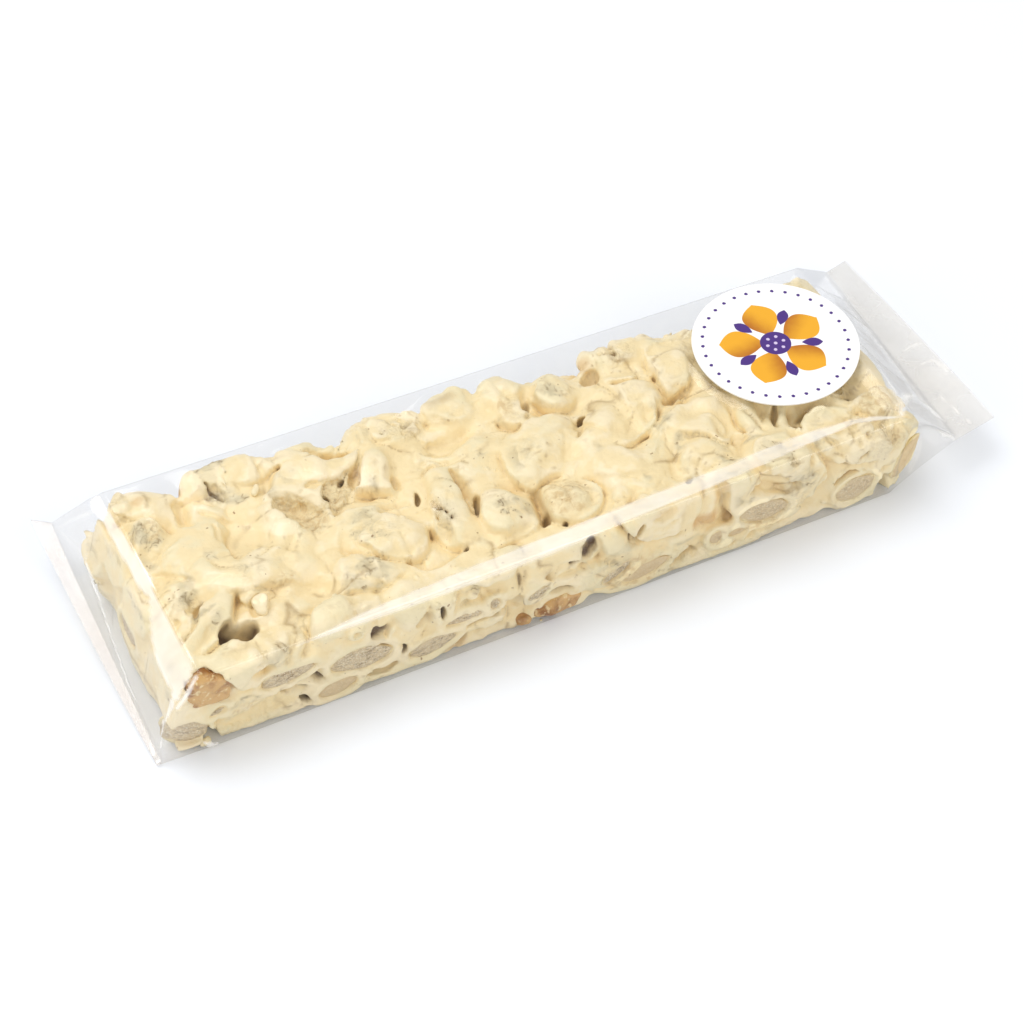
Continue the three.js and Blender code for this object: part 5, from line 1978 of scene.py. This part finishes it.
@dataclass
class CandiedLumps:
    """The amber candied pieces at the near face."""

    finish: CandiedFinish = field(default_factory=CandiedFinish)

    def build(self) -> Piece:
        """Makes the candied lumps as one piece."""
        lumps = [
            RoughLump((-98.4, -29.0, 20.6), (6.9, 3.2, 5.0), -4, -10, 5, 0.85, 0.14),
            RoughLump((-2.8, -29.8, 3.8), (6.8, 2.4, 2.7), 0, 10, 8),
            RoughLump((-12.6, -30.2, 2.2), (2.4, 1.8, 1.8), 0, 0, 12),
        ]
        return mesh_object("candied_lumps", *joined([lump.mesh() for lump in lumps]))

    def dress(self, piece: Piece) -> None:
        """Gives the candied lumps their finish and their place."""
        wear(piece, self.finish.material())
        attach(piece, "root")
        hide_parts("bag")


@dataclass
class Crumbs:
    """Crumbs and small flakes of nougat, on the bar and on the bag's floor."""

    count: int = 26
    finish: NougatFinish = field(default_factory=NougatFinish)

    def build(self) -> Piece:
        """Makes the placed flakes and the seeded crumbs as one piece."""
        draws = np.random.default_rng(77)
        lumps = [
            RoughLump((-78.2, -15.8, 26.6), (3.2, 2.2, 1.5), 70, 10, 31, 0.3),
            RoughLump((-65.0, 19.2, 26.6), (2.0, 0.9, 0.7), 55, 0, 33, 0.25),
            RoughLump((-100.5, -31.0, 1.0), (1.7, 1.0, 0.8), 20, 0, 35, 0.25),
        ]
        for i in range(self.count):
            size = draws.uniform(0.25, 0.6)
            if draws.random() < 0.55:
                x = draws.uniform(-104, 100)
                side = draws.choice([-31.4, 29.0, 29.4]) + draws.uniform(-0.2, 0.4)
                place = (x, side, 0.15 + 0.7 * size)
            else:
                place = (draws.uniform(101, 110), draws.uniform(-24, 24), 4.0 + 0.7 * size)
            sizes = (1.3 * size, size, 0.75 * size)
            lumps.append(RoughLump(place, sizes, draws.uniform(0, 180), 0, 50 + i, 0.22))
        return mesh_object("nougat_crumbs", *joined([lump.mesh() for lump in lumps]))

    def dress(self, piece: Piece) -> None:
        """Gives the crumbs their finish and their place."""
        wear(piece, self.finish.material())
        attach(piece, "root")
        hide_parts("bag")


# ---------------------------------------------------------------- the bag's film


class Glint(NamedTuple):
    """A painted highlight along a film fold or edge: (x, y, z, half width) along it, and how white it is."""

    strength: float
    soft: float
    points: tuple[Quad, ...]


def glint(strength: float, soft: float, *points: Quad) -> Glint:
    """A glint through points."""
    return Glint(strength, soft, points)


# Painted highlights: a band along the near top edge and thin lines along the film's edges.
EDGE_GLINTS = (
    glint(
        0.72, 0.3, (-76, -32.6, 28.4, 0.2), (-52, -31.8, 28.9, 1.4), (-26, -30.6, 28.9, 2.4),
        (3, -29.6, 28.6, 2.8), (22, -28.8, 28.4, 2.9), (40, -28.2, 28.2, 2.9), (56, -27.2, 28.1, 2.6),
        (72, -25.6, 28.1, 1.9), (86, -25.4, 28.1, 0.9), (91, -27, 28.2, 1.1), (97.5, -31, 28.9, 0.4),
    ),
    glint(0.35, 0.4, (-95, -33, 29.2, 0.3), (-40, -32.8, 29.2, 0.35), (96, -32, 29.2, 0.3)),
    glint(0.4, 0.5, (-95, 33, 29.3, 0.35), (-30, 32, 29.3, 0.4), (96, 30, 29.3, 0.35)),
    glint(0.6, 0.4, (-96, -33, 0.3, 0.35), (95, -32, 0.3, 0.35)),
    glint(0.3, 0.4, (-97, 33.2, 0.3, 0.3), (95, 30, 0.3, 0.3)),
)

# Painted highlights on the left end's facets, folds and seal.
LEFT_GLINTS = (
    glint(1.15, 0.4, (-103.4, 31.5, 27.2, 2), (-103, 27, 27.6, 1.5)),
    glint(
        0.85, 0.3, (-102.9, 26, 27.8, 1.5), (-102.4, 14, 28.2, 1.8), (-101.9, 1, 28.5, 2),
        (-101.8, -4, 28.6, 0.9),
    ),
    glint(
        0.8, 0.5, (-102.2, -5, 28.2, 1.4), (-103.4, -13, 26.6, 3.4), (-103.8, -20, 25.6, 4.6),
        (-103.2, -26, 25.4, 5),
    ),
    glint(0.8, 0.35, (-103.4, -26.5, 25.8, 4), (-106, -30.6, 22.6, 1.8), (-107.8, -32, 19.4, 0.3)),
    glint(0.9, 0.2, (-101.8, -33, 4.2, 0.1), (-99.8, -33, 1.8, 1), (-97.6, -33, 0.7, 0.2)),
    glint(0.9, 0.3, (-101.5, -31.6, 28.8, 0.5), (-104.4, -32.6, 25, 0.5), (-107.4, -32.6, 21, 0.5)),
    glint(0.85, 0.3, (-107.8, -30.6, 20.4, 1.2), (-109.4, -30, 15.4, 0.6), (-110.2, -29.2, 11.4, 0.3)),
    glint(1, 0.3, (-110, -28.6, 12, 0.4), (-112, -30.2, 4.8, 0.4), (-113.6, -31.8, 0.6, 0.4)),
    glint(
        1, 0.3, (-109.9, 24.5, 14.8, 0.4), (-110.9, 12, 11.8, 0.5), (-112.2, -8, 5.2, 0.5),
        (-113.6, -29, 1.4, 0.4),
    ),
    glint(0.5, 0.5, (-105.2, 31, 25, 0.7), (-108, 35.4, 19.4, 0.3), (-111.6, 39.4, 13.6, 0.3)),
    glint(0.55, 0.4, (-105.6, 28.6, 23.8, 0.4), (-108.2, 27.6, 18, 0.35), (-109.8, 25.2, 15.2, 0.2)),
    glint(0.5, 0.4, (-111.4, 39, 12.8, 0.3), (-110.8, 31.5, 14, 0.3), (-110, 25.2, 14.8, 0.25)),
    glint(
        0.14, 0.8, (-111.2, 21, 11, 0.9), (-112, 6, 7.6, 1.5), (-113, -10, 3.9, 1.3),
        (-113.8, -28, 1.2, 0.5),
    ),
    glint(0.14, 0.8, (-113.6, 38, 9.4, 0.8), (-113, 20, 6, 1)),
)

# Painted highlights on the right end's facets, folds and seal.
RIGHT_GLINTS = (
    glint(
        0.9, 0.5, (97, -30.6, 29, 0.4), (100.4, -25.4, 28.2, 1.9), (104.4, -21.6, 25, 1.1),
        (110.6, -17.4, 18.8, 0.2),
    ),
    glint(0.7, 0.3, (98.6, -27.4, 29.2, 0.3), (100.6, -20, 28.8, 1.5), (101.4, -12.4, 28.4, 0.2)),
    glint(0.9, 0.25, (100.4, -26.6, 28.6, 0.7), (105.2, -26.6, 23.6, 0.3), (108.4, -25.8, 19.4, 0.15)),
    glint(
        0.6, 0.35, (110.6, -19.2, 18.8, 0.3), (115.4, -18.8, 14.2, 0.35), (118.8, -24.4, 12.8, 0.4),
        (121, -28.6, 12.6, 0.3),
    ),
    glint(0.75, 0.35, (103, -30.2, 26.4, 0.25), (105.2, -27.4, 19.4, 0.4), (106.4, -25.6, 13.6, 0.3)),
    glint(0.6, 0.35, (108.4, -25.6, 14.8, 0.25), (111.6, -27.2, 14.8, 0.35), (116.8, -25, 13, 0.25)),
    glint(0.7, 0.4, (111.6, -27.6, 14.2, 0.6), (114.4, -28.6, 12.9, 1.1), (116.6, -29.6, 12.6, 0.5)),
    glint(0.6, 0.5, (111.4, -20.4, 18, 0.3), (113.6, -23, 15.6, 1.6), (116.2, -25.6, 13.4, 0.6)),
    glint(0.7, 0.4, (119.4, 2.9, 12.4, 0.3), (124, 4.2, 11.8, 0.9), (127.2, 4.8, 11.2, 0.5)),
    glint(
        0.75, 0.45, (122.2, -3.2, 12.2, 0.3), (126.6, -2.6, 11.8, 0.9), (128.2, -6.4, 11.8, 1.3),
        (127.2, -9, 12, 0.4),
    ),
    glint(0.95, 0.25, (120.4, -14.8, 12.7, 0.15), (121.4, -21, 12.7, 0.35), (122.6, -27.6, 12.7, 0.3)),
    glint(0.8, 0.25, (121.6, -15.8, 12.7, 0.1), (122.8, -21.6, 12.7, 0.25), (124.2, -27.8, 12.6, 0.2)),
    glint(0.35, 1, (127.2, -13, 12, 0.9), (126.4, -18.6, 12.2, 1.1)),
    glint(0.25, 0.5, (100.4, -30, 29.2, 0.3), (100.6, 0, 29.4, 0.3), (100.2, 28, 29.3, 0.3)),
    glint(
        0.35, 0.4, (114.4, 17, 15.2, 0.25), (116.4, 6, 13.6, 0.3), (113, -8, 16.6, 0.25),
        (111.4, -18, 18, 0.2),
    ),
    glint(0.3, 0.5, (116.8, 38, 12.8, 0.3), (117, -6, 12.8, 0.3), (116.8, -30, 12.8, 0.3)),
    glint(0.3, 0.4, (130.6, -24, 12, 0.3), (128.6, 10, 10.6, 0.3), (127.2, 42, 8.4, 0.3)),
)


class Fold(NamedTuple):
    """A crease the film is pushed out or in along: its two ends, half width and height."""

    start: Triple
    end: Triple
    half: float
    height: float


FOLDS = rows(
    Fold,
    ((-110, 25, 14.8), (-113.4, -29, 1.8), 1.1, 0.5), ((-105.2, 31, 25), (-111.6, 39.4, 13.6), 1.6, 0.6),
    ((-105.6, 28.6, 23.8), (-109.8, 25.2, 15.2), 1.6, -0.7), ((-107, 8, 21), (-111, 2, 9), 2.2, 0.6),
    ((-106, -12, 23), (-110.6, -14, 9), 2.4, -0.6), ((-108, -30, 19.5), (-112.6, -30.6, 2.8), 1.2, 0.4),
    ((110.8, -19.4, 18.4), (99, -27, 28.8), 2.2, -0.9),
    ((110.8, -19.4, 18.4), (116.6, -26, 13.2), 1.6, 0.6),
    ((110.8, -19.4, 18.4), (114.8, 17, 14.8), 1.8, 0.6), ((112, -12, 17.6), (103, -2, 26.4), 2.6, -0.6),
    ((115.6, 10, 14.2), (104, 16, 25.4), 3, 0.5), ((115.6, 26, 14.2), (104, 24, 25.4), 2.2, -0.5),
    ((106.4, -25.4, 13.4), (103, -30.2, 26.4), 1.4, 0.5),
    ((108.4, -25.6, 14.8), (116.8, -25, 13), 1.2, 0.4),
    ((120.4, -14.8, 12.7), (122.6, -27.6, 12.7), 0.9, 0.25),
    ((122.2, -3.2, 12.2), (128.2, -6.4, 11.8), 1.6, 0.3),
    ((119.4, 2.9, 12.4), (127.2, 4.8, 11.2), 1.4, 0.3),
)


def line_distance(points: Array, start: Array, end: Array) -> tuple[Array, Array]:
    """Distance of points to a straight line's stretch, and the share along it."""
    start, end = np.array(start[:3], float), np.array(end[:3], float)
    run = end - start
    share = np.clip((points - start) @ run / (run @ run), 0.0, 1.0)
    return np.linalg.norm(points - start - share[:, None] * run, axis=1), share


@dataclass
class BagFilm:
    """The clear film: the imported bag's own form, drawn finer, with folds and creases."""

    body_steps: int = 264
    wedge_steps: int = 26
    seal_steps: int = 16
    top_columns: int = 92
    floor_columns: int = 22
    side_rows: int = 22
    finish: FilmFinish = field(default_factory=FilmFinish)

    def shares(self, corner: float, length: float, columns: int) -> Array:
        """Shares along one side of a section, closer together at its rounded corners."""
        end = min(corner / length, 0.3)
        flat = np.linspace(end, 1 - end, columns + 1)
        near = np.array([0, 0.25, 0.5, 0.75]) * end
        return np.concatenate([near, flat, 1 - near[:0:-1]])

    def ring(self, part: Section) -> Array:
        """Points round one section, from the underside's near corner."""
        width, height = part.far - part.near, part.high - part.low
        floor = self.shares(part.corner, width, self.floor_columns)
        lid = self.shares(part.corner, width, self.top_columns)
        up = self.shares(part.corner, height, self.side_rows)
        sharp = np.concatenate(
            [
                np.stack([part.near + width * floor, np.full(len(floor), part.low)], 1),
                np.stack([np.full(len(up), part.far), part.low + height * up], 1),
                np.stack([part.far - width * lid, np.full(len(lid), part.high)], 1),
                np.stack([np.full(len(up), part.near), part.high - height * up], 1),
            ]
        )
        inner_y = np.clip(sharp[:, 0], part.near + part.corner, part.far - part.corner)
        inner_z = np.clip(sharp[:, 1], part.low + part.corner, part.high - part.corner)
        reach = np.hypot(sharp[:, 0] - inner_y, sharp[:, 1] - inner_z)
        scale = part.corner / reach
        y = inner_y + (sharp[:, 0] - inner_y) * scale
        z = inner_z + (sharp[:, 1] - inner_z) * scale
        rise = (z - part.low) / height
        across = np.clip((y - part.near) / width, 0.0, 1.0)
        x = part.x + (part.lean + part.top_skew * across) * rise + part.skew * across
        on_top = sharp[:, 1] == part.high
        sag = np.where(on_top, part.sag * BAG.sag(x, y), 0.0)
        fold = part.tuck * np.sin(math.pi * rise) * (1 - smoothstep(across, 0.0, 0.5))
        lift = part.lift * across**1.5 + part.crown * across * rise
        return np.stack([x, y + fold, z - sag + lift], 1)

    def creased(self, points: Array, normals: Array) -> Array:
        """Pushes the ends' points along their normals where folds run."""
        moved = points.copy()
        for fold in FOLDS:
            distance, share = line_distance(points, fold.start, fold.end)
            profile = np.exp(-np.abs(distance / fold.half) ** 1.3 * 1.6)
            ends = np.sin(math.pi * np.clip(share, 0.02, 0.98)) ** 0.5
            moved += normals * (fold.height * profile * ends)[:, None]
        return moved

    def highlight_whiteness(self, points: Array) -> Array:
        """How white the film is at each point: painted highlights, and the milky seal and wedge."""
        white = np.zeros(len(points))
        for glint in (*EDGE_GLINTS, *LEFT_GLINTS, *RIGHT_GLINTS):
            for start, end in zip(glint.points, glint.points[1:]):
                distance, share = line_distance(points, start, end)
                edge = blend(start[3], end[3], share)
                cover = 1.0 - smoothstep(distance - edge, -glint.soft, glint.soft)
                white = np.maximum(white, glint.strength * cover)
        x = points[:, 0]
        wedge = 0.12 * (1 - smoothstep(x, -107.0, -103.0)) * smoothstep(x, -113.0, -112.0)
        return np.maximum.reduce([white, 0.38 * smoothstep(x, 115.5, 117.0), wedge])

    def haze_and_foot_shade(self, points: Array) -> Array:
        """How grey the film is at each point: haze on its ends, and painted shade along its near foot."""
        x, y, z = points.T
        left = 0.1 + 1.5 * (1 - smoothstep(x, -113.0, -112.2))
        left = left * (1 - smoothstep(x, -107.0, -103.0))
        right = 0.1 * smoothstep(x, 101.0, 106.0) + 0.5 * smoothstep(x, 115.5, 117.0)
        # painted shade along the film's foot on the near side
        foot = (1 - smoothstep(z, 0.6, 3.0)) * (1 - smoothstep(y, -31.0, -28.0))
        return np.maximum.reduce([left, right, 0.6 * foot])

    def build(self) -> Piece:
        """Makes the film's mesh."""
        sections = BAG.sections(self.body_steps, self.wedge_steps, self.seal_steps)
        rings = np.array([self.ring(part) for part in sections])
        count, around, _ = rings.shape
        points = rings.reshape(-1, 3)
        along = np.gradient(rings, axis=0)
        round_it = np.roll(rings, -1, 1) - np.roll(rings, 1, 1)
        normals = np.cross(round_it, along).reshape(-1, 3)
        normals /= np.linalg.norm(normals, axis=1)[:, None] + 1e-9
        moved = self.creased(points, normals)
        moved[:, 2] = np.maximum(moved[:, 2], 0.0)
        first = np.arange(count - 1)[:, None] * around
        k = np.arange(around)[None, :]
        after = (k + 1) % around
        faces = np.stack([first + k, first + after, first + around + after, first + around + k], -1)
        piece = mesh_object("bag_film", moved, faces.reshape(-1, 4))
        # the crease attribute holds the painted highlights
        set_attribute(piece, "crease", self.highlight_whiteness(points))
        # haze of the ends and painted shade along the foot
        set_attribute(piece, "fog_and_foot_shade", self.haze_and_foot_shade(points))
        return piece

    def dress(self, piece: Piece) -> None:
        """Gives the film its finish and its place."""
        wear(piece, self.finish.material())
        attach(piece, "root")
        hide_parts("bag")


# ---------------------------------------------------------------- the label


@dataclass
class Label:
    """The round sticker, with a flower of almond petals printed on it."""

    petals: int = 5
    petal_reach: float = 15.2
    petal_inner: float = 3.0
    petal_half: float = 4.7
    leaf_reach: float = 12.8
    leaf_half: float = 1.5
    centre: float = 4.2
    dot_ring: float = 19.6
    dots: int = 34
    dot: float = 0.55
    turn: float = 14.0
    step: float = 0.5
    around: int = 256
    finish: LabelFinish = field(default_factory=LabelFinish)

    def leaf(self, x: Array, y: Array, angle: float, inner: float, outer: float, half: float) -> Array:
        """Distance to a pointed leaf that runs outwards at an angle."""
        along = math.cos(angle) * x + math.sin(angle) * y
        across = np.abs(-math.sin(angle) * x + math.cos(angle) * y)
        middle, length = 0.5 * (inner + outer), 0.5 * (outer - inner)
        u = np.clip((along - middle) / length, -1, 1)
        width = half * (1 - np.abs(u) ** 2.2) * (1 + 0.28 * u)
        beyond = np.maximum(np.abs(along - middle) - length, 0)
        return np.hypot(np.maximum(across - width, 0), beyond) + np.minimum(across - width, 0)

    def print_shapes(self, x: Array, y: Array) -> dict[str, Array]:
        """Distances, in millimetres, to the printed shapes.

        Args:
            x, y: places on the label, measured from its middle.

        Returns:
            The values that the label's material reads.
        """
        turn = math.radians(self.turn)
        petal, violet, pale = (np.full(x.shape, 99.0) for _ in range(3))
        shade = np.zeros(x.shape)
        for i in range(self.petals):
            angle = turn + i * 2 * math.pi / self.petals
            made = self.leaf(x, y, angle, self.petal_inner, self.petal_reach, self.petal_half)
            along = math.cos(angle) * x + math.sin(angle) * y
            across = -math.sin(angle) * x + math.cos(angle) * y
            tone = 0.75 - 0.055 * along + 0.1 * across
            shade = np.where(made < petal, tone, shade)
            petal = np.minimum(petal, made)
            between = angle + math.pi / self.petals
            violet = np.minimum(violet, self.leaf(x, y, between, 7.0, self.leaf_reach, self.leaf_half))
        violet = np.minimum(violet, np.hypot(x, y) - self.centre)
        angle = np.arctan2(y, x)
        spacing = 2 * math.pi / self.dots
        nearest = np.round(angle / spacing) * spacing
        away = np.hypot(x - self.dot_ring * np.cos(nearest), y - self.dot_ring * np.sin(nearest))
        violet = np.minimum(violet, away - self.dot)
        for i in range(7):
            reach, bearing = (0.0, 0.0) if i == 0 else (2.4, i * math.pi / 3)
            away = np.hypot(x - reach * math.cos(bearing), y - reach * math.sin(bearing))
            pale = np.minimum(pale, away - 0.5)
        return {"petal": petal, "violet": violet, "pale": pale, "petal_shade": shade}

    def build(self) -> Piece:
        """Makes the sticker: a flat disc with a fine mesh that carries its print."""
        radius, thick = BAG.label_radius, BAG.label_thickness
        rings = int(radius / self.step)
        around = self.around
        radii = np.linspace(0, radius, rings + 1)[1:]
        angle = np.arange(around) / around * 2 * math.pi
        x = np.concatenate([[0.0], np.outer(radii, np.cos(angle)).ravel()])
        y = np.concatenate([[0.0], np.outer(radii, np.sin(angle)).ravel()])
        high = np.full(len(x), BAG.height - BAG.clearance + BAG.label_gap + thick)
        top = np.stack([x + BAG.label_x, y + BAG.label_y, high], 1)
        under = top.copy()
        under[:, 2] -= thick
        points = np.concatenate([top, under])
        rim = 1 + (rings - 1) * around
        bands = [band(start, start + around, around) for start in range(1, rim, around)]
        lid = np.concatenate([fan(0, 1, around), *bands])
        faces = np.concatenate([lid, lid[:, ::-1] + len(top), band(rim, len(top) + rim, around)])
        piece = mesh_object("round_label", points, faces, False)
        for name, values in self.print_shapes(x, y).items():
            set_attribute(piece, name, np.concatenate([values, np.full(len(values), 50.0)]))
        return piece

    def dress(self, piece: Piece) -> None:
        """Gives the sticker its finish and its place."""
        wear(piece, self.finish.material())
        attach(piece, "root")
        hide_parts("label")


# ---------------------------------------------------------------- floor, light and camera


class Lamp(NamedTuple):
    """A square soft light that looks at the origin: its name, place, side, power and tint."""

    name: str
    place: Triple
    side: float
    power: float
    tint: Triple = (1.0, 1.0, 1.0)


@dataclass
class Studio:
    """Pale floor, soft lights and the camera. Lengths are in metres."""

    floor_side: float = 6.0
    floor_drop: float = 0.00015
    world_light: float = 0.535
    azimuth: float = -27.8
    elevation: float = 49.19
    roll: float = 2.19
    distance: float = 0.76048
    focal_share: float = 2854.99 / 1024
    target: Triple = (1.9, 5.4, 0.0)
    finish: FloorFinish = field(default_factory=FloorFinish)
    lamps: tuple[Lamp, ...] = (
        Lamp("overhead", (-0.4, 0.62, 1.5), 1.15, 15.6),
        Lamp("front_fill", (0.55, -1.3, 0.9), 1.0, 7.7, (1.0, 0.95, 0.86)),
        Lamp("left_fill", (-1.4, -0.4, 0.8), 0.9, 4.6),
    )

    def build_floor(self) -> Piece:
        """Makes the floor plane."""
        half = 0.5 * self.floor_side / MM
        corners = np.array([(-half, -half), (half, -half), (half, half), (-half, half)])
        points = np.column_stack([corners, np.full(4, -self.floor_drop / MM)])
        made = mesh_object("floor", points, np.array([[0, 1, 2, 3]]), False)
        wear(made, self.finish.material())
        return made

    def build_lights(self) -> None:
        """Makes the even world light and the soft lamps."""
        world = bpy.data.worlds.new("studio")
        world.use_nodes = True
        back = world.node_tree.nodes["Background"]
        back.inputs["Color"].default_value = (1.0, 1.0, 1.0, 1.0)
        back.inputs["Strength"].default_value = self.world_light
        bpy.context.scene.world = world
        for lamp in self.lamps:
            data = bpy.data.lights.new(lamp.name, "AREA")
            data.size = lamp.side
            data.energy = lamp.power
            data.color = lamp.tint
            made = bpy.data.objects.new(lamp.name, data)
            made.location = lamp.place
            made.rotation_euler = (-Vector(lamp.place)).to_track_quat("-Z", "Y").to_euler()
            bpy.context.scene.collection.objects.link(made)

    def build_camera(self) -> Piece:
        """Makes the camera."""
        turn, lift, roll = (math.radians(v) for v in (self.azimuth, self.elevation, self.roll))
        back = Vector((math.sin(turn) * math.cos(lift), -math.cos(turn) * math.cos(lift), math.sin(lift)))
        right = Vector((math.cos(turn), math.sin(turn), 0.0))
        up = back.cross(right)
        tilted = right * math.cos(roll) + up * math.sin(roll)
        upright = up * math.cos(roll) - right * math.sin(roll)
        data = bpy.data.cameras.new("camera")
        data.sensor_width = 36.0
        data.lens = self.focal_share * data.sensor_width
        data.clip_start = 0.05
        made = bpy.data.objects.new("camera", data)
        aim = Vector(PLACE.metres(np.array(self.target)))
        axes = Matrix((tilted, upright, back)).transposed()
        made.matrix_world = Matrix.Translation(aim + back * self.distance) @ axes.to_4x4()
        bpy.context.scene.collection.objects.link(made)
        bpy.context.scene.camera = made
        bpy.context.scene.view_settings.view_transform = "Standard"
        return made


# ---------------------------------------------------------------- the whole bar


def main() -> None:
    logging.basicConfig(level=logging.INFO)
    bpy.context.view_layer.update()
    cut = CutAlmonds()
    almonds = cut.list_all()
    nougat = Nougat()
    bar = nougat.build(almonds)
    nougat.dress(bar)
    halves = cut.build(almonds)
    cut.dress(halves)
    made = [bar, halves]
    for part in (CandiedLumps(), Crumbs(), BagFilm(), Label()):
        piece = part.build()
        part.dress(piece)
        made.append(piece)
    for piece in made:
        LOG.info("%s: %d faces", piece.name, len(piece.data.polygons))
    studio = Studio()
    studio.build_floor()
    studio.build_lights()
    studio.build_camera()


if __name__ == "__main__":
    main()
